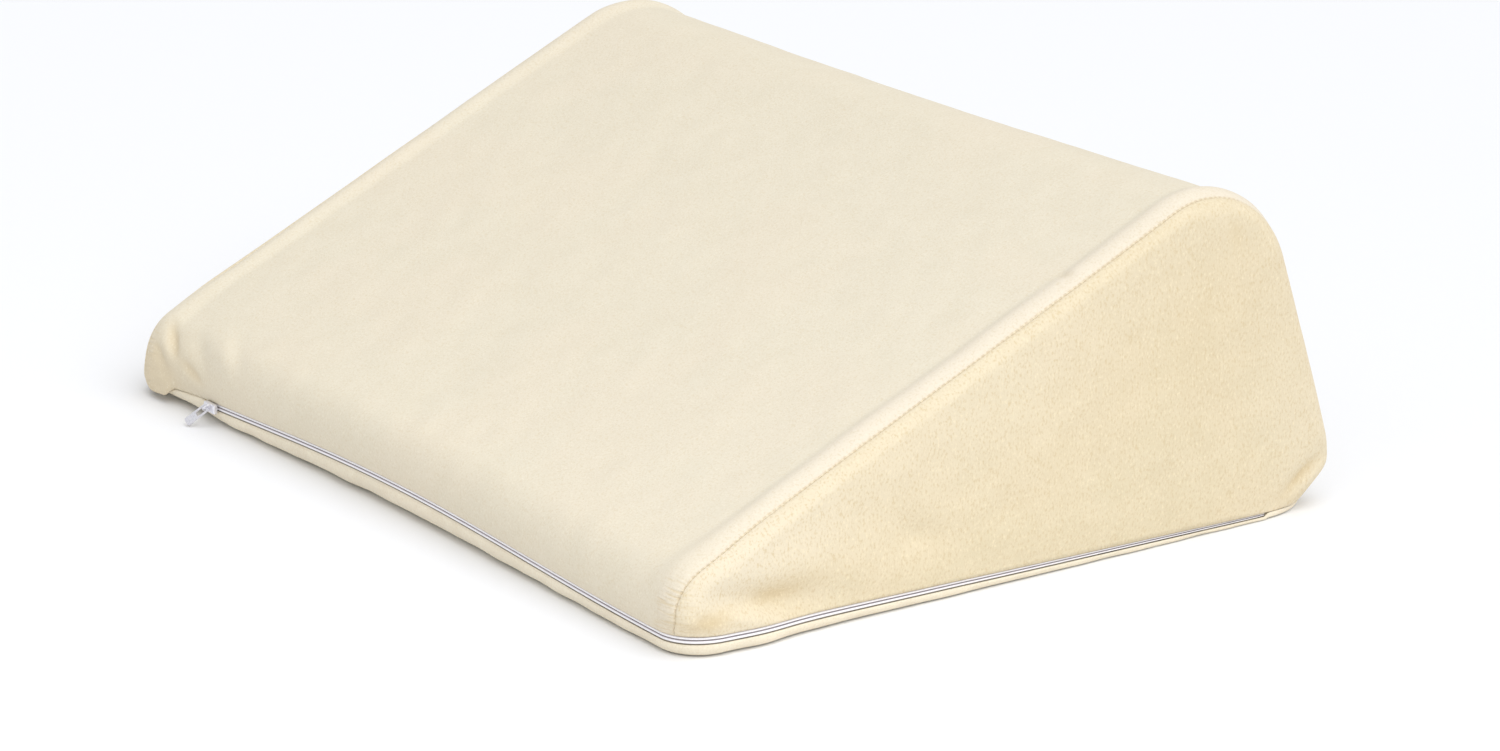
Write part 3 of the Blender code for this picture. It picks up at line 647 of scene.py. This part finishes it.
def end_grids(side, first_turn):
    """Grids of one end: the strip round its rounded edge and the patch of its side face."""
    turns = [first_turn + (math.pi / 2 - first_turn) * share
             for share in np.linspace(0, 1, TURN_STEPS + 1) ** TURN_CLOSE_UP]
    strip = np.array([end_skin(PLACES, turn, side) for turn in turns])
    rim = strip[-1]
    left = rim[:LIP_STEPS + 1]
    top = rim[LIP_STEPS:LIP_STEPS + TOP_COLUMNS + 1]
    right = rim[LIP_STEPS + TOP_COLUMNS:][::-1]
    across = np.linspace(0, 1, TOP_COLUMNS + 1)[:, None]
    bottom = (1 - across) * left[0] + across * right[0]
    patch = coons(left, right, bottom, top)
    share = np.array([np.sin(turn) - math.sin(SEAM_TURN) for turn in turns]) / (1 - math.sin(SEAM_TURN))
    share = np.broadcast_to(share.reshape(TURN_STEPS + 1, -1), strip.shape[:2])
    strip = side_relief(strip, side, share)
    patch = side_relief(patch, side, 1.0)
    return hang(strip, above_hem(strip)), hang(patch, patch[..., 2] - patch[:1, :, 2])


def seam_charts(grids, turns_from):
    """Seam charts of one end's grids: distance from the seam line and length along it.

    Past the rim a point takes those of the rim's nearest point, the distance to it added to the first.
    """
    rounded, face = grids
    reach = end_rounding(PLACES)[2]
    shares = np.linspace(0, 1, TURN_STEPS + 1)[:, None] ** TURN_CLOSE_UP
    distance = (turns_from - SEAM_TURN + (math.pi / 2 - turns_from) * shares) * reach
    strip = np.stack(np.broadcast_arrays(distance, PLACES[None, :]), axis=-1)
    from_rim = np.linalg.norm(face.reshape(-1, 1, 3) - rounded[-1][None], axis=-1)
    nearest = from_rim.argmin(axis=1)
    patch = np.stack([distance[-1][nearest] + from_rim.min(axis=1), PLACES[nearest]], axis=-1)
    return strip, patch.reshape(face.shape[:2] + (2,))


def grid_faces(rows, columns, first=0):
    """Quads of a grid of rows by columns whose vertices start at an index."""
    index = first + np.arange(rows * columns).reshape(rows, columns)
    corners = (index[:-1, :-1], index[:-1, 1:], index[1:, 1:], index[1:, :-1])
    return np.stack(corners, axis=-1).reshape(-1, 4)


def mesh_from_grids(name, grids, charts=None):
    """Mesh of several grids of points, with named charts of the grids as UV maps."""
    verts = np.concatenate([grid.reshape(-1, 3) for grid in grids])
    starts = np.cumsum([0] + [grid.shape[0] * grid.shape[1] for grid in grids])
    faces = np.concatenate([grid_faces(*grid.shape[:2], start) for grid, start in zip(grids, starts)])
    mesh = bpy.data.meshes.new(name)
    mesh.from_pydata(verts, [], faces)
    for chart_name, chart_grids in (charts or {}).items():
        chart = np.concatenate([grid.reshape(-1, 2) for grid in chart_grids])
        layer = mesh.uv_layers.new(name=chart_name)
        layer.data.foreach_set("uv", chart[faces.ravel()].ravel())
    return mesh


def weld(mesh, dissolve=True, fill=None, below=math.inf, **settings):
    """Merge doubles, drop what has no size, fill open edges if asked, and turn the faces outwards."""
    bm = bmesh.new()
    bm.from_mesh(mesh)
    bmesh.ops.remove_doubles(bm, verts=bm.verts, dist=WELD)
    if dissolve:
        bmesh.ops.dissolve_degenerate(bm, edges=bm.edges, dist=WELD)
    if fill is not None:
        rims = [edge for edge in bm.edges if edge.is_boundary and edge.verts[0].co.z < below]
        fill(bm, edges=rims, **settings)
    bmesh.ops.recalc_face_normals(bm, faces=bm.faces)
    bm.to_mesh(mesh)
    bm.free()


def read_rows(items, attribute, width):
    """An attribute of all the vertices or faces of a mesh, a row for each."""
    values = np.empty(len(items) * width)
    items.foreach_get(attribute, values)
    return values.reshape(-1, width)


def face_away(mesh):
    """Turn the faces of an open mesh so that, by area, they look away from the point inside."""
    outward = read_rows(mesh.polygons, "center", 3) - INSIDE
    facing = (outward * read_rows(mesh.polygons, "normal", 3)).sum(axis=1)
    if np.sum(facing * read_rows(mesh.polygons, "area", 1)[:, 0]) < 0:
        mesh.flip_normals()


def mesh_size(mesh):
    """Extent of a mesh along each axis."""
    return np.ptp(read_rows(mesh.vertices, "co", 3), axis=0)


def add_object(name, data):
    """Object of some data, in the scene."""
    item = bpy.data.objects.new(name, data)
    bpy.context.scene.collection.objects.link(item)
    return item


def add_piece(name, mesh, material):
    """Smooth shaded piece with its material, riding on the pillow's one body."""
    mesh.materials.append(material)
    mesh.shade_smooth()
    piece = add_object(name, mesh)
    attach(piece, "root")
    return piece


def thicken(piece, thickness):
    """Cloth thickness on the inner side of an open surface."""
    solidify = piece.modifiers.new("cloth", "SOLIDIFY")
    solidify.thickness = thickness
    solidify.offset = -1.0


def plan_normals(loop):
    """Unit vectors in plan that point out of a counter-clockwise loop, across its slope at uneven steps."""
    after = np.roll(loop, -1, axis=0) - loop
    before = np.roll(after, 1, axis=0)
    step_after = np.linalg.norm(after[:, :2], axis=1, keepdims=True)
    step_before = np.roll(step_after, 1, axis=0)
    along = after * step_before / step_after + before * step_after / step_before
    out = np.stack([along[:, 1], -along[:, 0], np.zeros(len(loop))], axis=-1)
    return out / np.linalg.norm(out, axis=1, keepdims=True)


def hem_loop(wrap, right, left, with_corners):
    """Closed loop of zip line points, from the front left seam to the right and round."""
    first = 0 if with_corners else 1
    right_strip, right_patch = right
    left_strip, left_patch = left
    return np.concatenate([
        wrap[:, 0],
        right_strip[first:, 0],
        right_patch[0, 1:-1],
        right_strip[first:, -1][::-1],
        wrap[::-1, -1],
        left_strip[first:, -1],
        left_patch[0, 1:-1][::-1],
        left_strip[first:, 0][::-1],
    ])


def closed(loop):
    """A loop with its first point again at its end."""
    return np.concatenate([loop, loop[:1]])


def zip_share(loop):
    """Share of the zip's height at each point: 1 from the slider round to the back right corner."""
    past_slider = np.clip((loop[:, 0] - ZIP_START_X + ZIP_FADE) / ZIP_FADE, 0.0, 1.0)
    before_back = np.clip((ZIP_END_Y - loop[:, 1]) / ZIP_END_FADE, 0.0, 1.0)
    return past_slider * before_back


def zip_height(loop):
    """Height of the zip that shows at each point: along the right side it sinks behind the cover's edge."""
    return ZIP_HEIGHT * np.interp(loop[:, 1], (ZIP_SINK_Y, ZIP_END_Y), (1.0, ZIP_SINK_SHARE))


def loop_length(loop):
    """Length along a loop at each of its points."""
    steps = np.linalg.norm(np.diff(loop, axis=0), axis=1)
    return np.concatenate([[0.0], np.cumsum(steps)])


def rim_size(loop):
    """Foot height, rise and width of the base panel's turned-up edge, with its foot lifted front left."""
    rim_top = loop[:, 2] - TAPE_GAP - (zip_height(loop) - TAPE_GAP) * zip_share(loop)
    corner = np.array([-HALF, NOSE_Y - NOSE_RADIUS])
    low = RIM_LIFT * bump(np.linalg.norm(loop[:, :2] - corner, axis=1) / RIM_LIFT_REACH)
    rise = (rim_top - low) / (1 + math.sin(RIM_OVERHANG))
    return low, rise, RIM_SPREAD * rise


def rim_ring(loop, out, turn, depth):
    """Ring of the turned-up edge at a turn round its oval section and a depth inside it, a little wavy."""
    low, rise, width = rim_size(loop)
    wave = ripple(loop_length(loop), 0.0, RIM_SWAY_WAVELENGTH, RIM_SWAY_SEED)
    sway = RIM_SWAY * math.sin(2 * turn) * wave if turn > 0 else 0.0
    inset = width * (1 - math.cos(turn)) + sway
    height = low + rise * (1 - math.sin(turn))
    level = rise * math.cos(turn)
    upright = width * math.sin(turn)
    size = np.hypot(level, upright)
    ring = loop - out * (inset + depth * level / size)[:, None]
    ring[:, 2] = height + depth * upright / size
    return ring


# Materials


def new_material(name):
    """New material with nodes, and its shader."""
    material = bpy.data.materials.new(name)
    material.use_nodes = True
    return material, material.node_tree.nodes["Principled BSDF"]


def add_node(material, kind, **values):
    """Node of a kind, with its inputs set by name."""
    node = material.node_tree.nodes.new(kind)
    for key, value in values.items():
        node.inputs[key.replace("_", " ")].default_value = value
    return node


def join(material, source, target):
    """Link an output socket to an input socket."""
    material.node_tree.links.new(source, target)


def own_place(material):
    """Place on the piece, as a vector socket."""
    return material.node_tree.nodes.new("ShaderNodeTexCoord").outputs["Object"]


def noise(material, vector, scale, detail, stretch=(1.0, 1.0, 1.0)):
    """Noise of a scale in features for each metre, stretched along the axes; returns its value socket."""
    mapping = add_node(material, "ShaderNodeMapping", Scale=stretch)
    join(material, vector, mapping.inputs["Vector"])
    texture = add_node(material, "ShaderNodeTexNoise", Scale=scale, Detail=detail,
                       Roughness=NOISE_ROUGHNESS)
    join(material, mapping.outputs["Vector"], texture.inputs["Vector"])
    return texture.outputs["Fac"]


def tinted(colour, tint):
    """A colour times a tint, channel by channel."""
    return tuple(value * share for value, share in zip(colour, tint))


def mixed(material, factor, low, high, from_low=0.0, from_high=1.0):
    """Colour that runs from low to high as the factor runs between two values."""
    ramp = add_node(material, "ShaderNodeMapRange", From_Min=from_low, From_Max=from_high)
    join(material, factor, ramp.inputs["Value"])
    mix = material.node_tree.nodes.new("ShaderNodeMix")
    mix.data_type = "RGBA"
    join(material, ramp.outputs["Result"], mix.inputs["Factor"])
    for socket, colour in ((mix.inputs[MIX_LOW], low), (mix.inputs[MIX_HIGH], high)):
        if hasattr(colour, "node"):
            join(material, colour, socket)
        else:
            socket.default_value = (*colour, 1.0)
    return mix.outputs[MIX_RESULT]


def vary_roughness(material, shader, factor, low, high):
    """Roughness that runs from low to high as the factor runs from 0 to 1."""
    ramp = add_node(material, "ShaderNodeMapRange", To_Min=low, To_Max=high)
    join(material, factor, ramp.inputs["Value"])
    join(material, ramp.outputs["Result"], shader.inputs["Roughness"])


def stack_bump(material, shader, layers):
    """Bump layers (height socket, strength, distance) one over the other into the shader's normal."""
    last = None
    for height, strength, distance in layers:
        node = add_node(material, "ShaderNodeBump", Strength=strength, Distance=distance)
        join(material, height, node.inputs["Height"])
        if last is not None:
            join(material, last.outputs["Normal"], node.inputs["Normal"])
        last = node
    join(material, last.outputs["Normal"], shader.inputs["Normal"])


def worked(material, operation, first, second):
    """Sum, product or other arithmetic of two values, each a socket or a number."""
    node = material.node_tree.nodes.new("ShaderNodeMath")
    node.operation = operation
    for socket, value in zip(node.inputs, (first, second)):
        if hasattr(value, "node"):
            join(material, value, socket)
        else:
            socket.default_value = value
    return node.outputs["Value"]


def product(material, first, second):
    """Product of two values, each a socket or a number."""
    return worked(material, "MULTIPLY", first, second)


def eased_between(material, value, start, end):
    """0 before the start, 1 past the end, smooth in between; the start may lie above the end."""
    rising = start < end
    node = add_node(material, "ShaderNodeMapRange", From_Min=min(start, end), From_Max=max(start, end),
                    To_Min=0.0 if rising else 1.0, To_Max=1.0 if rising else 0.0)
    node.interpolation_type = "SMOOTHSTEP"
    join(material, value, node.inputs["Value"])
    return node.outputs["Result"]


def chart_values(material, chart_name):
    """The two values of a piece's chart and the chart as a vector."""
    chart = material.node_tree.nodes.new("ShaderNodeUVMap")
    chart.uv_map = chart_name
    parts = material.node_tree.nodes.new("ShaderNodeSeparateXYZ")
    join(material, chart.outputs["UV"], parts.inputs["Vector"])
    return parts.outputs["X"], parts.outputs["Y"], chart.outputs["UV"]


def sewn(material, colour, finish, shade_colour):
    """Colour and bump heights of the seam: a band with painted highlight, short gathers near the lip with
    painted shade in their troughs and painted highlight on their crests, a line of stitches.
    """
    band_highlight_colour, edge, at_lip, gain, gathered = finish
    distance, along, chart = chart_values(material, "seam")
    # Painted highlight on the raised band: its share from the chart, less at the lip and towards the left
    weight = chart_values(material, "tone")[1]
    band = product(material, weight, eased_between(material, distance, *edge))
    highlight_share = product(material, eased_between(material, along, *BAND_RUN), gain)
    highlight_share = product(material, band, worked(material, "ADD", highlight_share, at_lip))
    colour = mixed(material, highlight_share, colour, band_highlight_colour)
    near_lip = product(material, eased_between(material, distance, *GATHER_REACH),
                       eased_between(material, along, *GATHER_END))
    near_lip = product(material, near_lip, gathered)
    gathers = noise(material, chart, *GATHERS, GATHER_STRETCH)
    # Painted shade in the gathers' troughs
    trough_shade = product(material, eased_between(material, gathers, *GATHER_TROUGHS), near_lip)
    colour = mixed(material, trough_shade, colour, shade_colour)
    # Painted highlight on the gathers' crests; the same noise also bumps them
    pleats = product(material, gathers, near_lip)
    colour = mixed(material, pleats, colour, band_highlight_colour, *GATHER_CRESTS)
    line = eased_between(material, distance, *STITCH_LINE)
    from_stitch = worked(material, "PINGPONG", along, STITCH_PITCH / 2)
    hole = eased_between(material, from_stitch, *STITCH_HOLE_SPAN)
    stitches = mixed(material, hole, THREAD, STITCH_HOLE)
    colour = mixed(material, product(material, line, STITCH_LINE_SHARE), colour, stitches)
    sunk_holes = product(material, product(material, line, hole), -1.0)
    return colour, pleats, sunk_holes


def pile_material(name, light, deep, stretch, fleck, finish=None):
    """Short pile: clouds, mottling, lit and turned tufts, sheen, and where it has one, a seam finish with
    painted highlight and painted shade, and painted tan shade in its folds.
    """
    material, shader = new_material(name)
    place = own_place(material)
    clouds = noise(material, place, *CLOUDS)
    mottle = noise(material, place, *MOTTLE)
    flecks = noise(material, place, *FLECKS, stretch)
    tufts = noise(material, place, *TUFTS, stretch)
    colour = mixed(material, mottle, deep, light, *MOTTLE_SPAN)
    cloudy = product(material, eased_between(material, clouds, *CLOUD_SPAN), CLOUD_SHARE)
    colour = mixed(material, cloudy, colour, tinted(light, CLOUD_TINT))
    heights = []
    if finish is not None:
        # Painted tan shade in the creases, at the corners, along the lip and in the side hollows
        tone = product(material, chart_values(material, "tone")[0], SHADE_STRENGTH)
        shade_colour = tinted(deep, SHADE_TINT)
        colour, pleats, sunk_holes = sewn(material, colour, finish, shade_colour)
        colour = mixed(material, tone, colour, shade_colour)
        heights = [(pleats, *PLEAT_BUMP), (sunk_holes, *STITCH_HOLE_BUMP)]
    turned = product(material, eased_between(material, flecks, *DARK_FLECK_SPAN), fleck)
    colour = mixed(material, turned, colour, tinted(deep, FLECK_TINT))
    lit = product(material, eased_between(material, flecks, *PALE_FLECK_SPAN), fleck)
    lit_colour = tuple(min(PALE_FLECK_GAIN * value, PALE_FLECK_MOST) for value in light)
    colour = mixed(material, lit, colour, lit_colour)
    join(material, colour, shader.inputs["Base Color"])
    vary_roughness(material, shader, mottle, *PILE_ROUGHNESS)
    shader.inputs["Specular IOR Level"].default_value = PILE_SPECULAR
    shader.inputs["Sheen Weight"].default_value = SHEEN_WEIGHT
    shader.inputs["Sheen Roughness"].default_value = SHEEN_ROUGHNESS
    shader.inputs["Sheen Tint"].default_value = (*SHEEN_TINT, 1.0)
    heights += [(mottle, *MOTTLE_BUMP), (flecks, *FLECK_BUMP), (tufts, *TUFT_BUMP)]
    stack_bump(material, shader, heights)
    return material


def tape_material():
    """White woven zip tape: pale on its crown, with painted lilac grey shade at its edges and fine ribs
    across.
    """
    material, shader = new_material("zip_tape_weave")
    length, across, _ = chart_values(material, "tape")
    crown = worked(material, "PINGPONG", across, 0.5)
    weave = noise(material, own_place(material), *WEAVE)
    white = mixed(material, weave, TAPE_DEEP, TAPE_LIGHT, *WEAVE_SPAN)
    # Lilac grey painted shade at both edges of the tape, where it turns into the gaps
    colour = mixed(material, crown, TAPE_EDGE_SHADE, white, *TAPE_CROWN_SPAN)
    join(material, colour, shader.inputs["Base Color"])
    shader.inputs["Roughness"].default_value = TAPE_ROUGHNESS
    from_rib = worked(material, "PINGPONG", length, TAPE_RIB / 2)
    ribs = eased_between(material, from_rib, 0.0, TAPE_RIB / 2)
    stack_bump(material, shader, ((ribs, *RIB_BUMP), (weave, *WEAVE_BUMP)))
    return material


def metal_material():
    """Bright plated zip metal with fine rubbed scratches."""
    material, shader = new_material("plated_metal")
    rub = noise(material, own_place(material), *SCRATCHES, SCRATCH_STRETCH)
    colour = mixed(material, rub, METAL_DEEP, METAL_LIGHT, *SCRATCH_SPAN)
    join(material, colour, shader.inputs["Base Color"])
    vary_roughness(material, shader, rub, *METAL_ROUGHNESS)
    shader.inputs["Metallic"].default_value = METALLIC
    stack_bump(material, shader, ((rub, *SCRATCH_BUMP),))
    return material


# Pieces


def sunk(grids, depth):
    """Grids that meet in one surface, moved inward by a depth along its smooth normals."""
    mesh = mesh_from_grids("bed_guide", grids)
    bm = bmesh.new()
    bm.from_mesh(mesh)
    bm.verts.index_update()
    bmesh.ops.recalc_face_normals(bm, faces=bm.faces)
    bm.to_mesh(mesh)
    bm.free()
    face_away(mesh)
    points = read_rows(mesh.vertices, "co", 3)
    normals = read_rows(mesh.vertices, "normal", 3)
    bpy.data.meshes.remove(mesh)
    keys = np.round(points / WELD).astype(np.int64)
    _, same = np.unique(keys, axis=0, return_inverse=True)
    same = same.ravel()
    summed = np.zeros((same.max() + 1, 3))
    np.add.at(summed, same, normals)
    normals = summed[same]
    normals = normals / np.linalg.norm(normals, axis=1, keepdims=True)
    moved = points - depth * normals
    ends = np.cumsum([grid.shape[0] * grid.shape[1] for grid in grids])
    return [part.reshape(grid.shape) for part, grid in zip(np.split(moved, ends[:-1]), grids)]


def build_cushion(wrap, ends, hem, material):
    """The wrap panel's face over the filling, closed by a bed under each side panel and a foot below."""
    right_bed, left_bed = (sunk(end, BED) for end in ends)
    stations = wrap_stations()
    inward = seam_x(PLACES)[None, :] - np.abs(stations)
    seams = [np.stack(np.broadcast_arrays(inward, PLACES[None, :]), axis=-1)]
    # Share of the seam band's painted highlight, from little on the left to whole on the right
    highlight_share = np.interp(stations, (-HALF, HALF), LEFT_TO_RIGHT_HIGHLIGHT)
    # Painted tan shade of the creases and of the spots at the corners and along the lip
    tones = [shade_and_highlight_chart(stations, PLACES[None, :], WRAP_CREASES, WRAP_SHADE_SPOTS, highlight_share)]
    grids = [wrap]
    for bed, edge in ((right_bed, wrap[-1]), (left_bed, wrap[0])):
        grids += [np.array([edge, bed[0][0]]), bed[0], bed[1]]
    border = hem_loop(wrap, right_bed, left_bed, True)
    # The border has two points at each of the four seam corners, where the hem has one
    last = len(wrap) - 1
    back_right = last + 2 * TURN_STEPS + TOP_COLUMNS
    counts = np.ones(len(hem), dtype=int)
    counts[[0, last, back_right, back_right + last]] = 2
    under = closed(np.roll(np.repeat(np.arange(len(hem)), counts), -1))
    out = plan_normals(hem)
    groove = hem - out * GROOVE
    groove[:, 2] -= LIP_STEP
    rings = [groove] + [rim_ring(hem, out, turn, PANEL + TRAY_GAP) for turn in FOOT_TURNS]
    grids.append(np.array([closed(border)] + [ring[under] for ring in rings]))
    seams += [np.full(grid.shape[:2] + (2,), FAR) for grid in grids[1:]]
    tones += [np.zeros(grid.shape[:2] + (2,)) for grid in grids[1:]]
    mesh = mesh_from_grids("cushion_wrap", grids, {"seam": seams, "tone": tones})
    weld(mesh, fill=bmesh.ops.edgeloop_fill)
    piece = add_piece("cushion_wrap", mesh, material)
    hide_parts("wedge_cushion")


def build_side_panel(name, node, side, material):
    """Pile cloth over one end, sewn to the wrap panel at its edge."""
    first_turn = SEAM_TURN + SEAM_GAP / end_rounding(PLACES)[2]
    grids = end_grids(side, first_turn)
    # Painted tan shade in the side's creases and hollows, and the band's painted highlight at full share
    tones = [shade_and_highlight_chart(grid[..., 1], grid[..., 2], SIDE_CREASES, SIDE_SHADE_SPOTS, 1.0) for grid in grids]
    mesh = mesh_from_grids(name, grids, {"seam": seam_charts(grids, first_turn), "tone": tones})
    weld(mesh)
    face_away(mesh)
    piece = add_piece(name, mesh, material)
    thicken(piece, PANEL)
    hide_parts(node)
    size = mesh_size(mesh)


def build_base_panel(hem, material):
    """Pile cloth under the cushion, turned up round its edge to the zip, wavy where it is turned up."""
    out = plan_normals(hem)
    rings = [rim_ring(hem, out, turn, 0.0) for turn in RIM_TURNS]
    inner = hem - out * (rim_size(hem)[2] + BASE_MARGIN)[:, None]
    inner[:, 2] = 0.0
    mesh = mesh_from_grids("base_panel_cloth", [np.array([closed(ring) for ring in rings + [inner]])])
    weld(mesh, dissolve=False, fill=bmesh.ops.edgeloop_fill, below=LIP_STEP)
    face_away(mesh)
    piece = add_piece("base_panel_cloth", mesh, material)
    thicken(piece, PANEL)
    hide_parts("base_panel")
    size = mesh_size(mesh)


def build_tape(name, node, hem, place, material):
    """One zip tape's edge: a bar with a half round face along the zip line, at place 0 or 1 down it."""
    keep = zip_share(hem) >= TAPE_END_SHARE
    path = hem[keep]
    out = plan_normals(hem)[keep]
    # Two tapes and three gaps share the zip's height
    height = (zip_height(path) * zip_share(path) - 3 * TAPE_GAP) / 2
    top = path[:, 2] - TAPE_GAP - place * (TAPE_GAP + height)
    angles = np.linspace(-math.pi / 2, math.pi / 2, TAPE_SECTION_STEPS)
    section = [(TAPE_OUTER + TAPE_BULGE * (1 - math.cos(angle)), (1 - math.sin(angle)) / 2)
               for angle in angles]
    section += [(TAPE_OUTER + TAPE_DEPTH, 0.0), (TAPE_OUTER + TAPE_DEPTH, 1.0)]
    rows = []
    chart = []
    for inset, share in section + section[:1]:
        row = path - out * inset
        row[:, 2] = top - share * height
        rows.append(row)
        chart.append(np.stack(np.broadcast_arrays(loop_length(path), share), axis=-1))
    mesh = mesh_from_grids(name, [np.array(rows)], {"tape": [np.array(chart)]})
    weld(mesh, dissolve=False, fill=bmesh.ops.holes_fill, sides=len(section))
    piece = add_piece(name, mesh, material)
    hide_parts(node)


def build_pillow():
    """All the pieces of the pillow and their finishes."""
    wrap_pile = pile_material("cream_wrap_pile", *WRAP_PILE)
    side_pile = pile_material("warm_side_pile", *SIDE_PILE)
    base_pile = pile_material("sand_base_pile", *BASE_PILE)
    tape = tape_material()
    metal = metal_material()
    wrap = wrap_grid()
    ends = (end_grids(1, SEAM_TURN), end_grids(-1, SEAM_TURN))
    hem = hem_loop(wrap, *ends, False)
    build_cushion(wrap, ends, hem, wrap_pile)
    build_side_panel("side_panel_right_cloth", "side_panel_right", 1, side_pile)
    build_side_panel("side_panel_left_cloth", "side_panel_left", -1, side_pile)
    build_base_panel(hem, base_pile)
    build_tape("upper_tape_edge", "zip_tape_upper", hem, 0, tape)
    build_tape("lower_tape_edge", "zip_tape_lower", hem, 1, tape)
    for node in ("zip_slider", "zip_pull"):
        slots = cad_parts[node].data.materials
        slots.clear()
        slots.append(metal)


# Camera, lights and floor


def set_camera():
    """Camera behind the aim point along its azimuth and elevation."""
    away = Vector((
        math.sin(CAMERA_AZIMUTH) * math.cos(CAMERA_ELEVATION),
        -math.cos(CAMERA_AZIMUTH) * math.cos(CAMERA_ELEVATION),
        math.sin(CAMERA_ELEVATION),
    ))
    data = bpy.data.cameras.new("camera")
    data.lens = CAMERA_LENS
    data.sensor_width = CAMERA_SENSOR
    data.clip_end = CAMERA_RANGE
    camera = add_object("camera", data)
    camera.location = CAMERA_AIM + away * CAMERA_DISTANCE
    camera.rotation_euler = away.to_track_quat("Z", "Y").to_euler()
    bpy.context.scene.camera = camera


def set_lights():
    """Even white room, the wide soft key light and the weak fill lamp."""
    world = bpy.data.worlds.new("studio")
    world.use_nodes = True
    background = world.node_tree.nodes["Background"]
    background.inputs["Color"].default_value = (*ROOM_COLOUR, 1.0)
    background.inputs["Strength"].default_value = ROOM_STRENGTH
    bpy.context.scene.world = world
    bpy.context.scene.view_settings.view_transform = "Standard"
    data = bpy.data.lights.new("key_light", "SUN")
    data.energy = KEY_STRENGTH
    data.angle = KEY_SPREAD
    key = add_object("key_light", data)
    key.rotation_euler = KEY_TOWARDS.to_track_quat("Z", "Y").to_euler()
    data = bpy.data.lights.new("fill_lamp", "AREA")
    data.size = FILL_SIZE
    data.energy = FILL_WATTS
    fill = add_object("fill_lamp", data)
    fill.location = FILL_PLACE
    fill.rotation_euler = FILL_PLACE.to_track_quat("Z", "Y").to_euler()


def add_floor():
    """Plain pale floor just under the pillow."""
    mesh = bpy.data.meshes.new("floor")
    half = FLOOR_SIZE / 2
    corners = [(-half, -half, 0.0), (half, -half, 0.0), (half, half, 0.0), (-half, half, 0.0)]
    mesh.from_pydata(corners, [], [(0, 1, 2, 3)])
    material, shader = new_material("pale_floor")
    shader.inputs["Base Color"].default_value = (*FLOOR_COLOUR, 1.0)
    shader.inputs["Roughness"].default_value = FLOOR_ROUGHNESS
    mesh.materials.append(material)
    floor = add_object("floor", mesh)


set_camera()
set_lights()
add_floor()
build_pillow()
